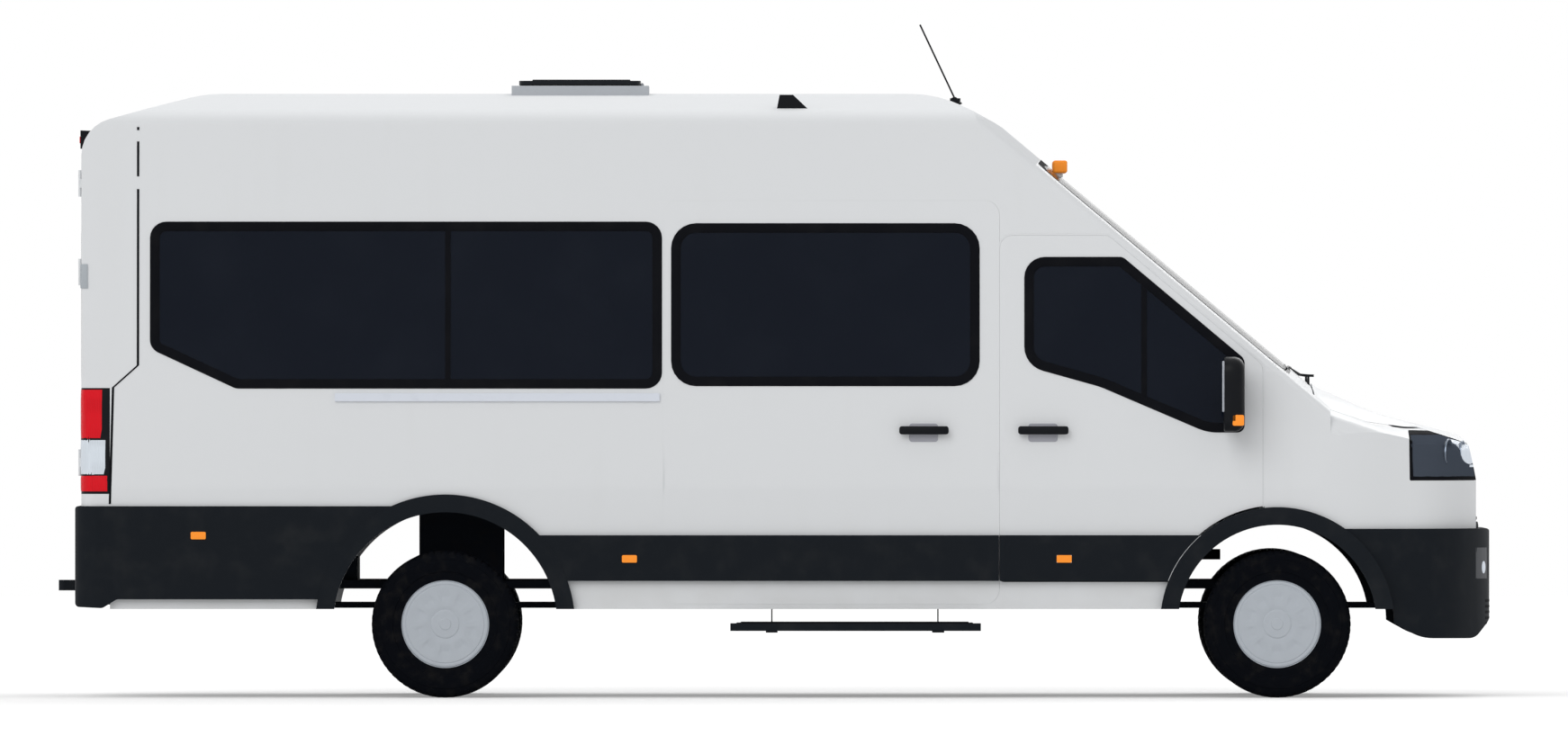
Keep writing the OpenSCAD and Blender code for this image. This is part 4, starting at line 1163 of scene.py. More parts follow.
@dataclass
class Headlamps:
    """Wrap-round headlamps: a dark bowl with two round lights, a day lamp, an indicator and a clear cover."""

    inner_y: float = 0.515
    rim: float = 0.018
    length: float = 0.62

    def wrap(self) -> Wrap:
        """The patch of skin that the lamp covers."""
        low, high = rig.box("headlamps")
        return Wrap(Skin("headlamps"), (P.nose - 0.45, -0.30), (-80, -5),
                    steps(low.z + 0.0008, high.z - 0.004, 10), lambda p: p.y <= -self.inner_y - 0.0005)

    def build(self) -> None:
        """Makes both lamps."""
        low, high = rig.box("headlamps")
        wrap = self.wrap()
        z0, z1 = low.z + 0.001, high.z - 0.004
        bowl = Form().slab(wrap.spot, steps(0, 1, 30), steps(z0, z1, 8), -0.050, -0.058)
        made, _ = bowl.pair("headlamp_bowl", GLOSS_BLACK, "root", Slot.PLASTIC)
        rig.replaces(made, "headlamps")
        self.rim_form(wrap, z0, z1).pair("headlamp_rim", SEAL, "root", Slot.PLASTIC)
        cover = Form().slab(wrap.spot, steps(0.02, 0.98, 30), steps(z0 + 0.012, z1 - 0.012, 8), 0.0, -0.004)
        cover.pair("headlamp_cover", LAMP_GLASS, "root", Slot.HEADLAMP)
        self.lights(wrap, (z0 + z1) / 2 + 0.01)

    def rim_form(self, wrap: Wrap, z0: float, z1: float) -> Form:
        """The black rim round the cover."""
        outer = rounded(frame_corners(0.0, z0, 1.0, z1, 0.002))
        du = self.rim / self.length
        inner = [(min(max(u, du), 1 - du), min(max(v, z0 + self.rim), z1 - self.rim)) for u, v in outer]
        outer, inner = divided(outer, 6), divided(inner, 6)
        section = [(0, -0.052), (0, 0.0015), (0.9, 0.0025), (1, 0.0), (1, -0.052)]
        return Form().band(wrap.spot, outer, inner, section)

    @staticmethod
    def lights(wrap: Wrap, middle: float) -> None:
        """The round lights, the day lamp and the indicator behind the cover."""
        bowls = Form()
        for u, size in ((0.48, 0.062), (0.74, 0.054)):
            back, out = wrap.spot(u, middle, -0.048), wrap.spot(u, middle, -0.010)
            aim = unit(Vector((1, 0, 0)) + unit(out - back) * 0.8)
            dish = [(0.0, 0.004), (size * 0.35, 0.006), (size * 0.7, 0.016), (size, 0.034),
                    (size + 0.004, 0.034), (size + 0.004, 0.028), (size * 0.72, 0.008),
                    (size * 0.35, -0.002), (0.0, -0.004)]
            bowls.lathe(dish, back, aim, 32)
            bulb = [(0.0, 0.030), (0.010, 0.028), (0.018, 0.020), (0.020, 0.008), (0.0, 0.006)]
            bowls.lathe(bulb, back, aim, 24)
        bowls.pair("headlamp_lights", REFLECTOR)
        a, b = (wrap.share(1.11, lambda p: p.x, P.at(s)) for s in (4.585, 4.634))

        def oval(u: float, v: float, h: float) -> Vector:
            """A point of the day lamp's oval."""
            return wrap.spot((a + b) / 2 + (b - a) / 2 * u, 1.108 + 0.055 * v * math.sqrt(1 - u * u), h)

        day = Form().slab(oval, steps(-0.97, 0.97, 14), steps(-1, 1, 8), 0.0025, -0.010)
        day.slab(wrap.spot, steps(a + (b - a) * 0.5, b, 4), steps(1.039, 1.050, 2), 0.0025, -0.010)
        day.pair("day_lamp", DAY_LENS)
        c = wrap.share(1.03, lambda p: p.x, P.at(4.652))
        turn = Form().slab(wrap.spot, steps(b, c, 4), steps(1.012, 1.045, 3), 0.0025, -0.010, 0.001)
        turn.pair("front_indicator", AMBER, "root", Slot.AMBER)


@dataclass
class Grille:
    """Black grille: a frame, slats and a dark screen behind them."""

    slats: int = 6
    frame_w: float = 0.030

    def build(self) -> None:
        """Makes the grille in place of its CAD block."""
        low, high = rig.box("grille")
        spot = Skin("grille").onto("front")
        y0, y1, z0, z1 = low.y + 0.001, high.y - 0.001, low.z + 0.001, high.z - 0.001
        section = [(0, -0.034), (0, -0.008), (0.3, -0.005), (0.9, -0.006), (1, -0.012), (1, -0.034)]
        corners = frame_corners(y0, z0, y1, z1, 0.030)
        outer = divided(rounded(corners), 4)
        inner = divided(rounded(inset(corners, self.frame_w)), 4)
        ring = Form().band(spot, outer, inner, section)
        for k in range(self.slats):
            z = z0 + (z1 - z0) * (k + 1) / (self.slats + 1)
            ring.slab(spot, steps(y0 + 0.02, y1 - 0.02, 40), [z - 0.010, z - 0.004, z + 0.004, z + 0.010],
                      -0.012, -0.030, 0.004)
        made = ring.piece("grille_slats", CLADDING, "root", Slot.PLASTIC)
        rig.replaces(made, "grille")
        Form().slab(spot, steps(y0 + 0.004, y1 - 0.004, 40), steps(z0 + 0.004, z1 - 0.004, 10), -0.032,
                    -0.038).piece("grille_screen", SEAL)


@dataclass
class Wheels:
    """Tyres with moulded tread, and flat grey covers over the wheel discs."""

    cover_r: float = 0.195
    blocks: int = 64
    pockets: int = 10
    pocket_depth: float = 0.0035

    def build(self) -> None:
        """Makes the four tyres and covers."""
        for end in ("front", "rear"):
            for side in Side:
                self.tyre(f"{end}_{side.word}")
                self.cover(f"{end}_{side.word}", side)

    def tyre(self, word: str) -> None:
        """The tyre of one wheel, in place of its CAD ring."""
        low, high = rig.box(f"tyre_{word}")
        centre, half, outer = (low + high) / 2, (high.y - low.y) / 2, (high.z - low.z) / 2
        rim = (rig.box(f"wheel_{word}")[1].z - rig.box(f"wheel_{word}")[0].z) / 2
        wall = [(rim, half - 0.020), (0.1975, half - 0.0145), (0.199, half - 0.0115),
                (rim + 0.010, half - 0.0105), (rim + 0.024, half - 0.0085), (rim + 0.028, half - 0.004),
                (rim + 0.046, half - 0.0012), (rim + 0.062, half), (rim + 0.080, half - 0.0015),
                (rim + 0.083, half - 0.005), (outer - 0.028, half - 0.006), (outer - 0.016, half - 0.011)]
        tread = [(outer - 0.0065, half - 0.018), (outer - 0.0015, half - 0.030), (outer, half - 0.040)]
        for groove in (0.040, 0.0):
            tread += [(outer, groove + 0.005), (outer - 0.008, groove + 0.004),
                      (outer - 0.008, groove - 0.004), (outer, groove - 0.005)]
        right = wall + tread
        left = [(r, -h) for r, h in reversed(right[:-4])]
        profile = right + left
        blocks = [i for i, (r, h) in enumerate(profile) if r > outer - 0.007 and abs(h) > 0.012]

        def shift(point: int, step: int) -> float:
            """Cuts the cross grooves, offset from one side to the other."""
            late = step % 4 == (0 if profile[point][1] > 0 else 2)
            return -0.0065 if late and point in blocks else 0.0

        form = Form().lathe(profile, centre, Vector((0, 1, 0)), self.blocks * 4, shift)
        made = form.piece(f"tyre_{word}_tread", TYRE, f"wheel_{word}", Slot.TYRE, 30)
        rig.replaces(made, f"tyre_{word}")

    def cover(self, word: str, side: Side) -> None:
        """The dished cover, with a rolled rim, shallow pockets and a centre cap."""
        low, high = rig.box(f"tyre_{word}")
        centre, face = (low + high) / 2, (high.y - low.y) / 2 - 0.012
        r = self.cover_r
        profile = [(0.0, 0.004), (0.024, 0.004), (0.029, 0.001), (0.031, -0.002), (0.060, -0.003),
                   (0.064, -0.001), (0.100, 0.0), (0.118, -0.0005), (0.128, -0.0005), (0.146, 0.0),
                   (r - 0.022, 0.001), (r - 0.018, -0.0015), (r - 0.012, 0.001), (r - 0.004, 0.0),
                   (r, -0.006), (r, -0.016), (r - 0.006, -0.016), (r - 0.010, -0.006), (0.0, -0.008)]
        axis = Vector((0, side.value, 0))
        form = Form().lathe([(a, h + face) for a, h in profile], centre, axis, 120)
        for point in form.points:
            reach = (point - centre).copy()
            reach.y = 0
            turn = math.degrees(math.atan2(reach.z, reach.x)) % (360 / self.pockets)
            on_face = (point - centre).dot(axis) > face - 0.002
            if 0.117 < reach.length < 0.129 and 8 < turn < 28 and on_face:
                point -= axis * self.pocket_depth
        form.piece(f"wheel_cover_{word}", WHEEL_SILVER, f"wheel_{word}", Slot.WHEEL, 28)


@dataclass
class Mirrors:
    """Door mirrors: a sculpted housing on an arm, its glass, and an indicator at its foot."""

    def build(self) -> None:
        """Makes both mirrors in place of their CAD blocks."""
        low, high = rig.box("mirror_right")
        body = "front_door"
        housings = self.housing(low, high).pair("mirror_housing", GLOSS_BLACK, body, Slot.PLASTIC)
        for side, made in zip(Side, housings):
            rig.replaces(made, f"mirror_{side.word}")
        y_out, y_in = low.y + 0.014, -P.half_w - 0.052

        def rearward(u: float, v: float, h: float) -> Vector:
            """A point on the housing's rear face."""
            return Vector((low.x + 0.008 - h, u, v))

        def outward(u: float, v: float, h: float) -> Vector:
            """A point on the housing's outer end."""
            return Vector((u, low.y + 0.004 - h, v))

        glass = Form().tile(rearward, (y_out, 1.300, y_in, 1.522, 0.036), 0.0, 0.0075, 0.003)
        glass.tile(rearward, (y_out + 0.004, 1.216, y_in - 0.004, 1.288, 0.026), 0.0, 0.0075, 0.003)
        glass.pair("mirror_glass", MIRROR_GLASS, body)
        lamp = Form().tile(outward, (high.x - 0.055, 1.227, high.x - 0.003, 1.276, 0.008),
                           -0.020, 0.004, 0.002)
        lamp.pair("mirror_indicator", AMBER, body, Slot.AMBER)
        edge = Form().tile(outward, (low.x - 0.006, 1.290, low.x + 0.001, 1.518, 0.0025),
                           -0.15, -0.002, 0.0015)
        edge.pair("mirror_edge", TRIM, body)

    @staticmethod
    def housing(low: Vector, high: Vector) -> Form:
        """The housing, deeper in the middle than at its rim, with its arm."""
        def spot(u: float, v: float, h: float) -> Vector:
            """A point of the housing at depth h from its rear face."""
            return Vector((low.x + h, u, v))

        y_in = -P.half_w - 0.040
        corners = [(low.y, 1.199, 0.050), (y_in, 1.199, 0.040), (y_in, 1.537, 0.060), (low.y, 1.537, 0.070)]
        depth = high.x - low.x
        stack = [(0.012, 0.0), (0.004, 0.002), (0.0, 0.010), (0.0, depth * 0.55), (0.006, depth * 0.75),
                 (0.016, depth * 0.88), (0.032, depth * 0.97), (0.038, depth)]
        form = Form().loft([[spot(u, v, h) for u, v in rounded(inset(corners, i), 8)] for i, h in stack])
        arm = [(low.x + 0.022, y_in - 0.02, 1.262), (low.x + 0.034, -P.half_w - 0.012, 1.262),
               (low.x + 0.040, -P.half_w + 0.020, 1.262)]
        for drop in (-0.028, 0.028):
            form.rod([Vector(a) + Vector((0, 0, drop)) for a in arm], [0.014, 0.017, 0.020], 16)
        return form


@dataclass
class ShutLines:
    """Body-coloured lips that close the gaps round the side doors."""

    gap: float = 0.008
    clear: float = 0.0006
    sunk: float = 0.0002
    deep: float = 0.010

    def build(self) -> None:
        """Makes the lips of the sliding door and of both front doors."""
        low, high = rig.box("sliding_door")
        g = self.gap - 0.0001
        door = frame_corners(low.x, low.z, high.x, high.z, 0.060)
        hole = frame_corners(low.x - g, low.z - g, high.x + self.gap - self.clear, high.z + g, 0.060 + g)
        section = [(0, -self.sunk), (1, -self.sunk), (1, -self.deep), (0, -self.deep)]
        inner = divided(rounded(door), 8)
        outer = divided(rounded(hole), 8)
        Form().band(P.wall, outer, inner, section).piece("sliding_door_lip", PAINT, "root", Slot.BODY)
        near, far = (divided(rounded(inset(self.front_door(), -by)), 6, False) for by in (self.clear, g))
        lip = Form().strip(P.wall, far, near, -self.sunk - 0.0004, -self.deep)
        lip.pair("front_door_lip", PAINT, "root", Slot.BODY)

    @staticmethod
    def front_door() -> list[Corner]:
        """The front door's outline above the arch, from its lower front corner round to the rear one."""
        back, front, top = P.at(2.499), P.at(3.685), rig.box("front_door_right")[1].z
        cowl = COWL_X - 0.118
        return [(front, 0.866, 0.002), (front, COWL_Z + (cowl - front) * SCREEN_SLOPE, 0.060),
                (cowl - (top - COWL_Z) / SCREEN_SLOPE, top, 0.060), (back, top, 0.060),
                (back, 0.545, 0.002)]


@dataclass
class Cladding:
    """Black strips low on the front doors, with the amber lamps of both sides."""

    low_z: float = 0.5265
    high_z: float = 0.7335
    face: float = 1.0232
    arch_r: float = 0.5300

    def build(self) -> None:
        """Makes the door strips and the side lamps on the front doors."""
        back = P.at(2.4985)
        arc = []
        for k in range(13):
            z = self.low_z + (self.high_z - self.low_z) * k / 12
            arc.append((P.front_axle - math.sqrt(self.arch_r ** 2 - (z - P.axle_z) ** 2), z))
        edge = [(back, self.low_z), *arc, (back, self.high_z)]
        middle = Vector((sum(u for u, _ in edge) / len(edge), 0, (self.low_z + self.high_z) / 2))
        strip = Form().loft([
            [Vector((u, -y, v)) + unit(Vector((middle.x - u, 0, middle.z - v))) * by for u, v in edge]
            for y, by in ((self.face - 0.020, 0), (self.face - 0.0015, 0), (self.face, 0.0015))])
        strip.pair("front_door_strip", CLADDING, "front_door", Slot.PLASTIC)
        self.lens(P.at(2.756), 0.610, "side_lamp_front", "front_door")

    def lens(self, x: float, z: float, name: str, body: str = "root") -> bpy.types.Object:
        """A small amber lamp low on both sides; hands back the right-hand one."""
        form = Form().tile(lambda u, v, h: Vector((u, -self.face - h, v)),
                           (x - 0.0005, z - 0.0005, x + 0.0675, z + 0.0335, 0.006), -0.006, 0.0034, 0.0016)
        return form.pair(name, AMBER, body, Slot.AMBER)[0]


@dataclass
class MarkerLamps:
    """Lamps on the cladding, on the brow of the roof and at the top of the tail."""

    def build(self) -> None:
        """Makes the lamps in place of their CAD solids."""
        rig.replaces(Cladding().lens(P.at(0.797), 0.610, "side_lamp_middle"), "marker_lamps")
        Cladding().lens(P.at(-1.146), 0.715, "side_lamp_rear")
        for low, high in islands("marker_lamps"):
            if low.z > 2.2 and high.x > 0:
                word = "left" if low.y > 0 else "right"
                Form().block((low.x, low.y, high.z - 0.057), high, 0.010).piece(
                    f"brow_lamp_{word}", AMBER, "root", Slot.AMBER)
                foot = Form().block((low.x + 0.004, low.y + 0.020, low.z),
                                    (high.x - 0.020, high.y - 0.020, high.z - 0.050), 0.004)
                foot.piece(f"brow_lamp_foot_{word}", PAINT, "root", Slot.BODY)
            elif low.z > 2.2:
                self.pod(low, high)

    @staticmethod
    def pod(low: Vector, high: Vector) -> None:
        """The black pod at the top of the tail, with its red tip."""
        skin = Skin("rear_frame", "roof_panel").onto("rear")
        y = high.y
        stations = steps(low.z + 0.0005, high.z - 0.0005, 10)
        rings = []
        for v in (-y, -y + 0.004, *steps(-y + 0.014, y - 0.014, 6), y - 0.004, y):
            edge = 0.004 if abs(v) > y - 0.003 else 0.0
            outer = [Vector((low.x + 0.0035 + edge, v, z)) for z in stations]
            inner = [skin(v, z, -0.004) for z in reversed(stations)]
            rings.append(outer + inner)
        Form().loft(rings).piece("tail_pod", GLOSS_BLACK, "root", Slot.PLASTIC)
        tip = (-y + 0.02, 2.507, y - 0.02, 2.538, 0.008)
        Form().tile(lambda u, v, h: Vector((low.x + 0.004 - h, u, v)), tip, -0.004, 0.0045, 0.002).piece(
            "tail_pod_lamp", RED, "root", Slot.RED)
        Form().slab(skin, steps(-0.16, 0.16, 12), steps(2.460, 2.478, 3), 0.004, -0.004, 0.002).piece(
            "high_stop_lamp", RED, "root", Slot.RED)


@dataclass
class RearSeams:
    """The black joint between each rear quarter and the side, and the straps of the rear doors' hinges."""

    half: float = 0.0052

    # The upper line's place, the spans of its two short pieces, and the bends of the long one.
    LINE = -1.385
    SHORT = ((2.574, 2.560), (2.509, 2.351))
    LONG = ((LINE, 2.294), (LINE, 1.499), (-1.497, 1.399), (-1.511, 0.874))

    def build(self) -> None:
        """Makes the joints of both sides."""
        form = Form()
        paths = [[(P.at(self.LINE), z) for z in steps(*span, 4)] for span in self.SHORT]
        for path in (*paths, divided([(P.at(s), z) for s, z in self.LONG], 10, False)):
            rear, front = ([(u + by, v) for u, v in path] for by in (-self.half, self.half))
            form.strip(P.wall, rear, front, 0.0016, -0.004)
        form.pair("rear_quarter_seam", SEAL)
        self.straps()

    @staticmethod
    def straps() -> None:
        """Grey straps that hug the rear corners at the upper hinge."""
        z0, z1 = 1.846, 1.955
        wrap = Wrap(Skin("rear_frame"), (P.tail + 0.20, -0.80), (180, 270), steps(z0, z1, 3),
                    lambda p: p.x <= P.tail + 0.031 and p.y <= -0.921)
        Form().slab(wrap.spot, steps(0, 1, 14), steps(z0, z1, 3), 0.006, -0.002, 0.002).pair(
            "rear_hinge_strap", HINGE_GREY)


@dataclass
class RearDoors:
    """Window frames, handle and blank number plate of the twin rear doors."""

    LATCH = (-0.055, 1.70, -0.030, 1.79, 0.010)
    HANDLE_FOOT = (0.050, 1.155, 0.270, 1.200, 0.014)
    HANDLE = (0.066, 1.166, 0.254, 1.189, 0.010)
    PLATE = (0.12, 0.885, 0.64, 0.963, 0.008)

    def build(self) -> None:
        """Dresses both doors."""
        low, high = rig.box("rear_door_window_right")
        pane = [(-v, z, r) for v, z, r in frame_corners(-high.y, low.z, -low.y, high.z, 0.060)][::-1]
        section = [(0, -0.002), (0, 0.002), (0.06, 0.004), (0.86, 0.004), (1, 0.0015), (1, -0.002)]
        Form().border(P.rear, pane, 0.003, 0.032, section).pair(
            "rear_window_frame", SEAL, "rear_door", Slot.PLASTIC)
        latch = Form().tile(P.rear, self.LATCH, -0.002, 0.006, 0.003)
        latch.pair("rear_door_latch", GLOSS_BLACK, "rear_door", Slot.PLASTIC)
        handle = Form().tile(P.rear, self.HANDLE_FOOT, -0.002, 0.0045, 0.002)
        handle.tile(P.rear, self.HANDLE, 0.0, 0.011, 0.003)
        handle.piece("rear_door_handle", GLOSS_BLACK, "rear_door_left", Slot.PLASTIC)
        Form().tile(P.rear, self.PLATE, -0.002, 0.0045, 0.0015).piece(
            "rear_plate_blank", PLATE, "rear_door_left")
        rim = [(0, -0.002), (0, 0.005), (1, 0.006), (1, -0.002)]
        Form().border(P.rear, frame_corners(*self.PLATE), 0.004, 0.003, rim).piece(
            "rear_plate_holder", GLOSS_BLACK, "rear_door_left", Slot.PLASTIC)


@dataclass
class FrontBumper:
    """Fog lamps in their recesses, the lower intake and a blank plate."""

    fog_z: float = 0.586
    intake_half: float = 0.52
    intake_z: float = 0.325
    slats: int = 5

    def build(self) -> None:
        """Makes the details of the front bumper."""
        skin = Skin("front_bumper")
        wrap = Wrap(skin, (P.nose - 0.40, -0.45), (-75, -5), steps(0.50, 0.71, 6),
                    lambda p: p.x > P.nose - 0.30 and p.y < -0.40)
        start, end = (wrap.share(0.60, lambda p: p.x, P.at(s)) for s in (4.655, 4.714))
        Form().slab(wrap.spot, steps(start, end, 10), steps(0.535, 0.675, 5), 0.0012, -0.004, 0.001).pair(
            "fog_lamp_bowl", FOG_RECESS)
        u = wrap.share(self.fog_z, lambda p: p.x, P.at(4.690))
        spot, out = wrap.spot(u, self.fog_z, 0.0), wrap.spot(u, self.fog_z, 0.01)
        disc = [(0.0, 0.0045), (0.012, 0.0043), (0.022, 0.0034), (0.028, 0.0018), (0.029, -0.006),
                (0.0, -0.006)]
        Form().lathe(disc, spot, out - spot, 32).pair("fog_lamp", DAY_LENS)
        front = skin.onto("front")
        slats = Form()
        for z in (self.intake_z + 0.026 * k for k in range(self.slats)):
            slats.slab(front, steps(-self.intake_half, self.intake_half, 30), steps(z, z + 0.012, 2),
                       0.0018, -0.006, 0.0012)
        slats.piece("front_intake_slats", SEAL, "root", Slot.PLASTIC)
        plate = Form().slab(front, steps(-0.26, 0.26, 24), steps(0.530, 0.640, 4), 0.0022, -0.002, 0.0015)
        plate.piece("front_plate_blank", PLATE)


@dataclass
class Screen:
    """The windscreen's black border and its wipers."""

    border: float = 0.045

    # Y of each wiper's ends and of its pivot.
    WIPERS = ((-0.62, 0.02, -0.12), (0.10, 0.70, 0.50))

    def build(self) -> None:
        """Makes the border and the wipers."""
        skin = Skin("windscreen")
        low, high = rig.box("windscreen")
        centre = (0.0, (low.z + high.z) / 2)
        edge = skin.outline("front", centre)
        inner = []
        for y, z in edge:
            way = Vector((centre[0] - y, centre[1] - z))
            width = self.border * (0.62 if abs(way.y) > abs(way.x) * 0.75 else 1.0)
            inner.append((y + way.normalized().x * width, z + way.normalized().y * width))
        spot = skin.onto("front")
        Form().band(spot, edge, inner, [(0, 0.0012), (1, 0.0008), (1, -0.001), (0, -0.001)]).piece(
            "windscreen_border", SEAL, "root", Slot.GLASS)
        wipers = Form()
        for start, end, pivot in self.WIPERS:
            base = max(min(z for y, z in edge if abs(y - at) < 0.09) for at in (start, pivot, end)) + 0.007
            blade = [spot(y, base + 0.006 * math.sin((y - start) / (end - start) * math.pi), 0.006)
                     for y in steps(start, end, 14)]
            wipers.rod(blade, [0.002] + [0.0045] * 13 + [0.002], 10)
            foot = Vector((P.at(3.905), pivot, 1.432))
            arm = [(P.at(s), pivot, z) for s, z in ((3.930, 1.452), (3.900, 1.453), (3.868, 1.457))]
            arm.append(blade[len(blade) // 2])
            wipers.rod(arm, [0.006, 0.006, 0.005, 0.003], 10)
            post = [(0.0, 0.022), (0.004, 0.021), (0.005, 0.016), (0.006, -0.030), (0.0, -0.030)]
            wipers.lathe(post, foot, Vector((0, 0, 1)), 20)
        wipers.piece("wipers", GLOSS_BLACK, "root", Slot.PLASTIC)


@dataclass
class Step:
    """Ribbed tread on the side step."""

    ribs: int = 9

    def build(self) -> None:
        """Makes the tread and its ribs."""
        low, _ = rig.box("side_step")
        x0, x1, top = P.at(1.312), P.at(2.379), 0.335
        y0, y1 = low.y + 0.012, low.y + 0.190
        form = Form().block((x0, y0, top - 0.002), (x1, y1, top + 0.004), 0.0025)
        for k in range(self.ribs):
            y = y0 + 0.014 + (y1 - y0 - 0.028) * k / (self.ribs - 1)
            form.block((x0 + 0.02, y - 0.004, top + 0.002), (x1 - 0.02, y + 0.004, top + 0.008), 0.002)
        form.piece("side_step_tread", SEAL, "root", Slot.PLASTIC)


@dataclass
class RoofDetails:
    """Ribs on the hatch lid and the foot of the aerial."""

    ribs: int = 5

    def build(self) -> None:
        """Makes the ribs and the foot."""
        low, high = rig.box("roof_hatch_lid")
        ribs = Form()
        for k in range(self.ribs):
            y = low.y + 0.09 + (high.y - low.y - 0.18) * k / (self.ribs - 1)
            ribs.block((low.x + 0.06, y - 0.012, high.z - 0.003),
                       (high.x - 0.06, y + 0.012, high.z + 0.006), 0.004)
        ribs.piece("hatch_lid_ribs", HATCH_LID, "roof_hatch_lid", Slot.HATCH)
        mast = max(islands("roof_aerials"), key=lambda b: b[1].z)
        x = mast[1].x - 0.024
        top = Skin("roof_panel").onto("top")(x, 0.0, 0.0)
        foot = [(0.0, 0.034), (0.010, 0.033), (0.016, 0.026), (0.020, 0.012), (0.030, 0.005),
                (0.032, -0.004), (0.0, -0.004)]
        Form().lathe(foot, top, Vector((-0.2, 0, 1)), 32).piece(
            "aerial_foot", GLOSS_BLACK, "root", Slot.PLASTIC)


@dataclass
class Cab:
    """Details of the dashboard and of the front doors' insides."""

    HOOD = ((1.945, 0.300, 1.270), (2.070, 0.620, 1.392))
    DIALS = ((1.944, 0.385, 1.336), (1.944, 0.535, 1.336))
    SCREEN = (-0.13, 1.150, 0.13, 1.270, 0.012)
    GLOVE_BOX = (-0.76, 1.035, -0.30, 1.150, 0.020)
    VENTS = (-0.84, -0.24, 0.17, 0.72)
    LEVER = ((1.86, 0.02, 1.02), (1.80, 0.02, 1.08), (1.775, 0.02, 1.15))

    def build(self) -> None:
        """Makes the instruments, the screen, the vents and the door cards."""
        dash = Skin("dashboard").onto("rear")
        Form().block(*self.HOOD, 0.022).piece("instrument_hood", CAB_PLASTIC, "root", Slot.CAB)
        dials = Form()
        for centre in self.DIALS:
            ring = [(0.0, 0.001), (0.040, 0.001), (0.046, 0.006), (0.052, 0.004), (0.053, -0.006),
                    (0.0, -0.006)]
            dials.lathe(ring, Vector(centre), Vector((-1, 0, 0)), 40)
        dials.piece("instrument_dials", GLOSS_BLACK, "root", Slot.CAB)
        Form().tile(dash, self.SCREEN, -0.002, 0.014, 0.004).piece(
            "dashboard_screen", GLOSS_BLACK, "root", Slot.CAB)
        vents = Form()
        for y in self.VENTS:
            for z in (1.185 + 0.018 * k for k in range(4)):
                vents.tile(dash, (y, z, y + 0.09, z + 0.009, 0.004), -0.002, 0.007, 0.002)
        vents.piece("dashboard_vents", GLOSS_BLACK, "root", Slot.CAB)
        Form().tile(dash, self.GLOVE_BOX, -0.002, 0.006, 0.003).piece(
            "glove_box_lid", CAB_GREY, "root", Slot.CAB)
        knob = [(0.0, 0.03), (0.016, 0.024), (0.022, 0.008), (0.018, -0.012), (0.008, -0.022), (0.0, -0.022)]
        lever = Form().rod(self.LEVER, [0.010, 0.008, 0.008], 12)
        lever.lathe(knob, Vector(self.LEVER[-1]), Vector((-0.3, 0, 1)), 24)
        lever.piece("gear_lever", CAB_PLASTIC, "root", Slot.CAB)
        card = Form()  # the front doors' lining, with its armrest and pocket
        card.tile(P.wall, (1.060, 0.600, 1.860, 1.150, 0.050), -0.068, -0.056, 0.004)
        card.tile(P.wall, (1.200, 0.930, 1.740, 0.985, 0.020), -0.108, -0.062, 0.012)
        card.tile(P.wall, (1.140, 0.640, 1.780, 0.780, 0.030), -0.098, -0.062, 0.010)
        card.pair("front_door_card", CAB_GREY, "front_door", Slot.CAB)


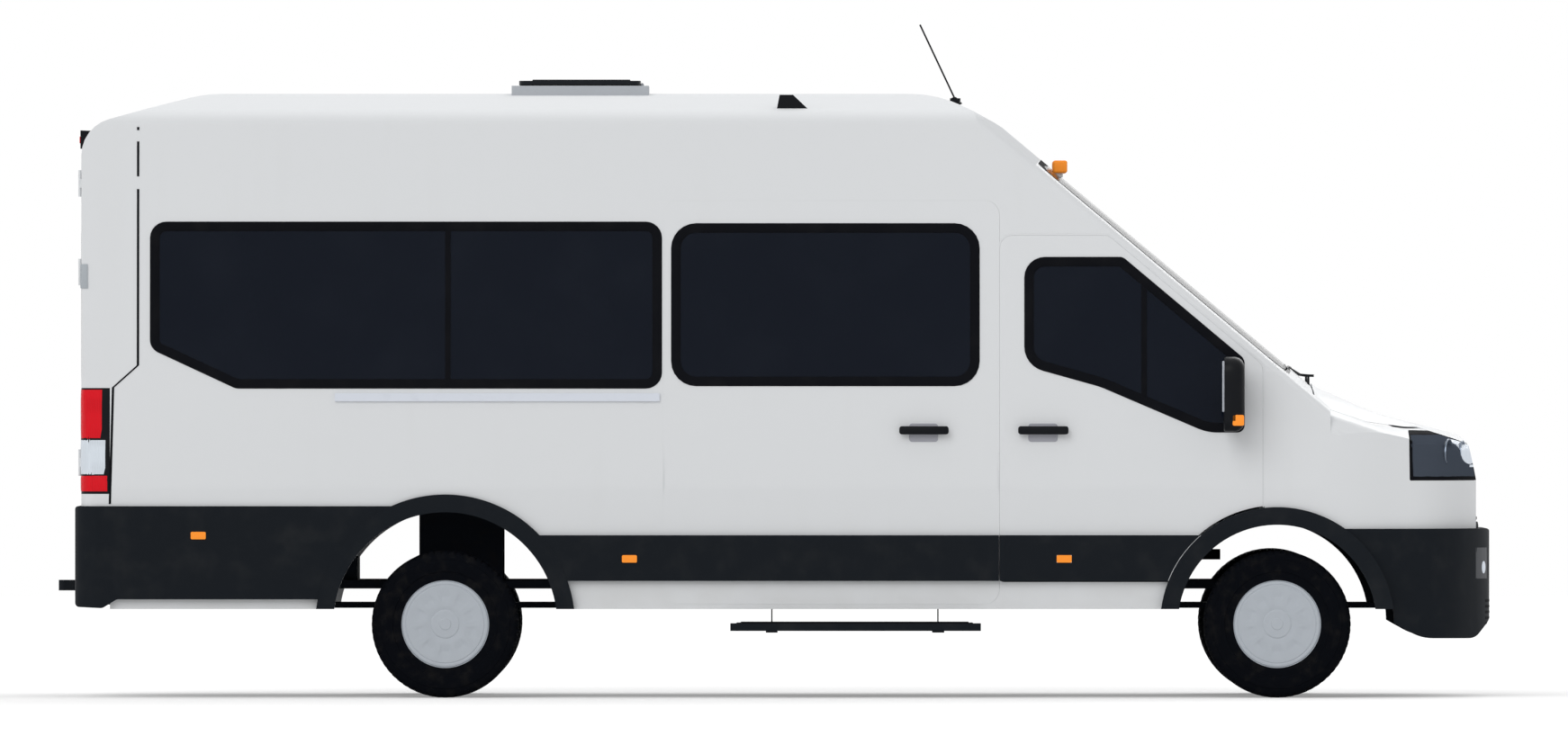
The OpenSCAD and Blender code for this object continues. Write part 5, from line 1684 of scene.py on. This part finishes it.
@dataclass
class Seats:
    """Seats with padded cushions, backs and headrests, on steel pedestals."""

    width: float = 0.430
    tuck: float = 0.013
    swell: float = 0.015
    voxel: float = 0.013
    head_half: float = 0.130
    stitch: float = 0.006
    pressure: float = 4.0
    settling: int = 20
    roll_w: float = 0.030

    CUSHION = ((-0.462, 0.000, 0.020), (-0.002, 0.010, 0.030), (-0.002, 0.130, 0.050), (-0.436, 0.120, 0.020))
    BACK = ((-0.442, 0.118, 0.020), (-0.560, 0.740, 0.040), (-0.660, 0.730, 0.040), (-0.540, 0.034, 0.040))
    HEAD = ((-0.670, 0.770, 0.020), (-0.590, 0.770, 0.020), (-0.600, 0.920, 0.035), (-0.690, 0.920, 0.035))

    def build(self) -> None:
        """Makes every seat from one set of sewn pads."""
        half = self.width / 2
        cushion = self.pad("cushion", self.CUSHION, half, lambda p: p.z < 0.030, self.sew_cushion)
        back = self.pad("back", self.BACK, half, lambda p: p.x < self.back_line(p.z) - 0.075, self.sew_back)
        head = self.pad("head", self.HEAD, self.head_half, lambda p: p.z < 0.778, lambda p: p)
        for k, (low, high) in enumerate(islands("seats")):
            origin = Vector((high.x, (low.y + high.y) / 2, low.z))
            for word, mesh, fill in (("cushion", cushion, 0.75), ("back", back, 0.7),
                                     ("headrest", head, 0.8)):
                made = self.copy(mesh, f"seat_{word}_{k + 1:02d}", origin)
                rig.padded(made, fill=fill)
                if k == 0 and word == "cushion":
                    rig.replaces(made, "seats")
            self.piping(k, origin)
            self.posts(k, origin)
        self.pedestals()

    @staticmethod
    def back_line(z: float) -> float:
        """X of the front of the backrest at a height."""
        return -0.440 - (z - 0.120) * 0.125 / 0.620

    def pad(self, word: str, corners: Sequence[Corner], half: float, held: Callable[[Vector], bool],
            sew: Callable[[Vector], Vector]) -> bpy.types.Mesh:
        """Makes one pad, lets it swell and sews its channels.

        Args:
            word: The pad's name.
            corners: Its side view.
            half: Half its width.
            held: Says which points rest on the frame and stay.
            sew: Moves a point of the swollen pad to where the stitching holds it.

        Returns:
            The finished mesh.
        """
        form = Form().prism(lambda u, v, h: Vector((u, h, v)), inset(corners, self.tuck),
                            -half + self.tuck, half - self.tuck, 0.020)
        blank = placed(f"pad_{word}", form.mesh(f"pad_{word}"))
        even = blank.modifiers.new("even", "REMESH")
        even.mode, even.voxel_size = "VOXEL", self.voxel
        self.bake(blank)
        start = [v.co.copy() for v in blank.data.vertices]
        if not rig.quick():
            self.inflate(blank, held)
            for vertex, rest in zip(blank.data.vertices, start):
                move = vertex.co - rest
                if move.length > self.swell:
                    vertex.co = rest + move.normalized() * self.swell
        for vertex in blank.data.vertices:
            vertex.co = sew(vertex.co.copy())
        made = blank.data
        bpy.data.objects.remove(blank)
        made.shade_smooth()
        made.materials.append(SEAT_CLOTH.material())
        return made

    @staticmethod
    def bake(piece: bpy.types.Object) -> None:
        """Applies a piece's modifiers to its mesh."""
        graph = bpy.context.evaluated_depsgraph_get()
        done = bpy.data.meshes.new_from_object(piece.evaluated_get(graph))
        piece.modifiers.clear()
        piece.data = done

    def inflate(self, piece: bpy.types.Object, held: Callable[[Vector], bool]) -> None:
        """Swells a pad like a cover over foam, with its resting side held."""
        group = piece.vertex_groups.new(name="held")
        group.add([v.index for v in piece.data.vertices if held(v.co)], 1.0, "REPLACE")
        cloth = piece.modifiers.new("cover", "CLOTH")
        cloth.settings.vertex_group_mass = "held"
        cloth.settings.use_pressure = True
        cloth.settings.uniform_pressure_force = self.pressure
        cloth.settings.effector_weights.gravity = 0.0
        scene = bpy.context.scene
        for step in range(self.settling):
            scene.frame_set(step + 1)
        self.bake(piece)
        scene.frame_set(1)

    @staticmethod
    def dent(at: float, middle: float, width: float = 0.008) -> float:
        """1 at the middle, falling smoothly to 0 over the width."""
        return math.exp(-((at - middle) / width) ** 2)

    def sew_cushion(self, p: Vector) -> Vector:
        """Channels across the cushion's middle and along its two side rolls."""
        if p.z > 0.085:
            groove = sum(self.dent(p.x, x) for x in (-0.110, -0.215, -0.320)) * (abs(p.y) < 0.135)
            roll = 0.010 * self.dent(abs(p.y), 0.180, self.roll_w)
            p.z += roll - self.stitch * max(groove, self.dent(abs(p.y), 0.140))
        return p

    def sew_back(self, p: Vector) -> Vector:
        """Channels across the backrest's middle and along its two side rolls."""
        depth = p.x - self.back_line(p.z)
        if depth > -0.030:
            groove = sum(self.dent(p.z, z) for z in (0.300, 0.420, 0.540)) * (abs(p.y) < 0.130)
            roll = 0.012 * self.dent(abs(p.y), 0.175, self.roll_w)
            p.x += roll - self.stitch * max(groove, self.dent(abs(p.y), 0.135))
        return p

    @staticmethod
    def copy(mesh: bpy.types.Mesh, name: str, origin: Vector) -> bpy.types.Object:
        """A pad of one seat."""
        own = mesh.copy()
        own.transform(Matrix.Translation(origin))
        made = placed(name, own)
        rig.ride(made, "root")
        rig.slot(made, Slot.CLOTH.value)
        return made

    def piping(self, k: int, origin: Vector) -> None:
        """The cord sewn round the edges of a seat's cushion and back."""
        form = Form()
        for corners, flip in ((self.CUSHION, False), (self.BACK, True)):
            outline = list(corners)[::-1] if flip else list(corners)
            ring = rounded(inset(outline, 0.010), 5)
            for y in (-self.width / 2 + 0.014, self.width / 2 - 0.014):
                form.rod([origin + Vector((u, y, v)) for u, v in [*ring, ring[0]]], 0.0045, 8)
        form.piece(f"seat_piping_{k + 1:02d}", PIPING, "root", Slot.CLOTH)

    def posts(self, k: int, origin: Vector) -> None:
        """The two posts that carry a headrest."""
        form = Form()
        for y in (-0.060, 0.060):
            form.rod([origin + Vector((-0.605, y, 0.700)), origin + Vector((-0.635, y, 0.800))], 0.006, 12)
        form.piece(f"headrest_posts_{k + 1:02d}", CHROME)

    @staticmethod
    def pedestals() -> None:
        """Side plates, cross tubes and floor rails under the seats."""
        form = Form()
        for low, high in islands("seat_frames"):
            for y in (low.y, high.y - 0.020):
                form.block((low.x, y, low.z + 0.028), (high.x, y + 0.020, high.z), 0.006)
                form.block((low.x - 0.02, y - 0.010, low.z), (high.x + 0.02, y + 0.030, low.z + 0.030), 0.006)
            for x in (low.x + 0.05, high.x - 0.05):
                form.rod([(x, low.y + 0.01, high.z - 0.05), (x, high.y - 0.01, high.z - 0.05)], 0.018, 14)
            form.block((low.x + 0.01, low.y + 0.01, high.z - 0.024),
                       (high.x - 0.01, high.y - 0.01, high.z), 0.006)
        made = form.piece("seat_pedestals", STEEL, "root", Slot.CHASSIS)
        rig.replaces(made, "seat_frames")


@dataclass
class Stage:
    """Floor, light and camera."""

    distance: float = 138.4
    lens: float = 700.0
    sensor: float = 36.0
    clip: Flat = (1.0, 600.0)
    eye_z: float = 1.487
    eye_x: float = 0.0495

    def build(self) -> None:
        """Makes the stage."""
        bpy.context.scene.view_settings.view_transform = "Standard"
        self.world()
        self.floor()
        self.lamps()
        view = bpy.data.cameras.new("view")
        view.lens, view.sensor_width = self.lens, self.sensor
        view.clip_start, view.clip_end = self.clip
        camera = placed("view", view)
        camera.location = (self.eye_x, -self.distance, self.eye_z)
        camera.rotation_euler = (math.pi / 2, 0, 0)
        bpy.context.scene.camera = camera

    @staticmethod
    def seen(tree: Tree) -> Value:
        """1 for rays from the camera, mirrors and glass."""
        rays = [tree.node("ShaderNodeLightPath", output=name)
                for name in ("Is Camera Ray", "Is Glossy Ray", "Is Transmission Ray")]
        return rays[0].math("MAXIMUM", rays[0], rays[1].math("MAXIMUM", rays[1], rays[2]))

    def world(self) -> None:
        """A white surround that lights the object a little more softly than it shows."""
        world = bpy.data.worlds.new("studio")
        world.use_nodes = True
        bpy.context.scene.world = world
        tree = Tree(world.node_tree)
        lit = tree.node("ShaderNodeBackground", inputs={"Color": (1, 1, 1, 1), "Strength": 0.66})
        shown = tree.node("ShaderNodeBackground", inputs={"Color": (1, 1, 1, 1), "Strength": 1.0})
        mixed = tree.node("ShaderNodeMixShader", inputs={0: self.seen(tree), 1: lit, 2: shown})
        tree.node("ShaderNodeOutputWorld", inputs={"Surface": mixed})

    @staticmethod
    def floor() -> None:
        """A pale floor that shows white where no shadow lies."""
        mesh = bpy.data.meshes.new("floor_sheet")
        mesh.from_pydata([(-60, -60, 0), (60, -60, 0), (60, 60, 0), (-60, 60, 0)], [], [(0, 1, 2, 3)])
        sheet = placed("floor_sheet", mesh)
        material = bpy.data.materials.new("studio_floor")
        material.use_nodes = True
        tree = Tree(material.node_tree)
        matt = tree.node("ShaderNodeBsdfDiffuse", inputs={"Color": (0.86, 0.86, 0.86, 1)})
        camera = tree.node("ShaderNodeLightPath", output="Is Camera Ray")
        lift = tree.node("ShaderNodeEmission", inputs={"Color": (1, 1, 1, 1), "Strength": camera * 0.25})
        both = tree.node("ShaderNodeAddShader", inputs={0: matt, 1: lift})
        tree.node("ShaderNodeOutputMaterial", inputs={"Surface": both})
        mesh.materials.append(material)
        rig.stage(sheet)

    @staticmethod
    def lamps() -> None:
        """Three broad, soft suns: a key, a fill behind and one from above."""
        for name, strength, tilt, turn in (("key", 0.85, 58, -25), ("fill", 0.8, 58, 160),
                                           ("top", 0.1, 0, 0)):
            sun = bpy.data.lights.new(name, "SUN")
            sun.energy, sun.angle = strength, math.radians(40)
            placed(name, sun).rotation_euler = (math.radians(tilt), 0, math.radians(turn))


def main() -> None:
    """Builds the vehicle's looks part by part."""
    logging.basicConfig(level=logging.INFO, format="%(message)s")
    for kind in (Stage, Panels, SideWindows, Handles, TailLamps, Headlamps, Grille, Wheels, Mirrors,
                 ShutLines, Cladding, MarkerLamps, RearSeams, RearDoors, FrontBumper, Screen, Step,
                 RoofDetails, Cab, Seats):
        kind().build()
        log.info("%s done", kind.__name__)
    with open("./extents.json", "w") as out:
        json.dump({"cad": [list(c) for c in CAD_BOX], "visual": [list(c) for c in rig.bounds()]}, out)


if __name__ == "__main__":
    main()
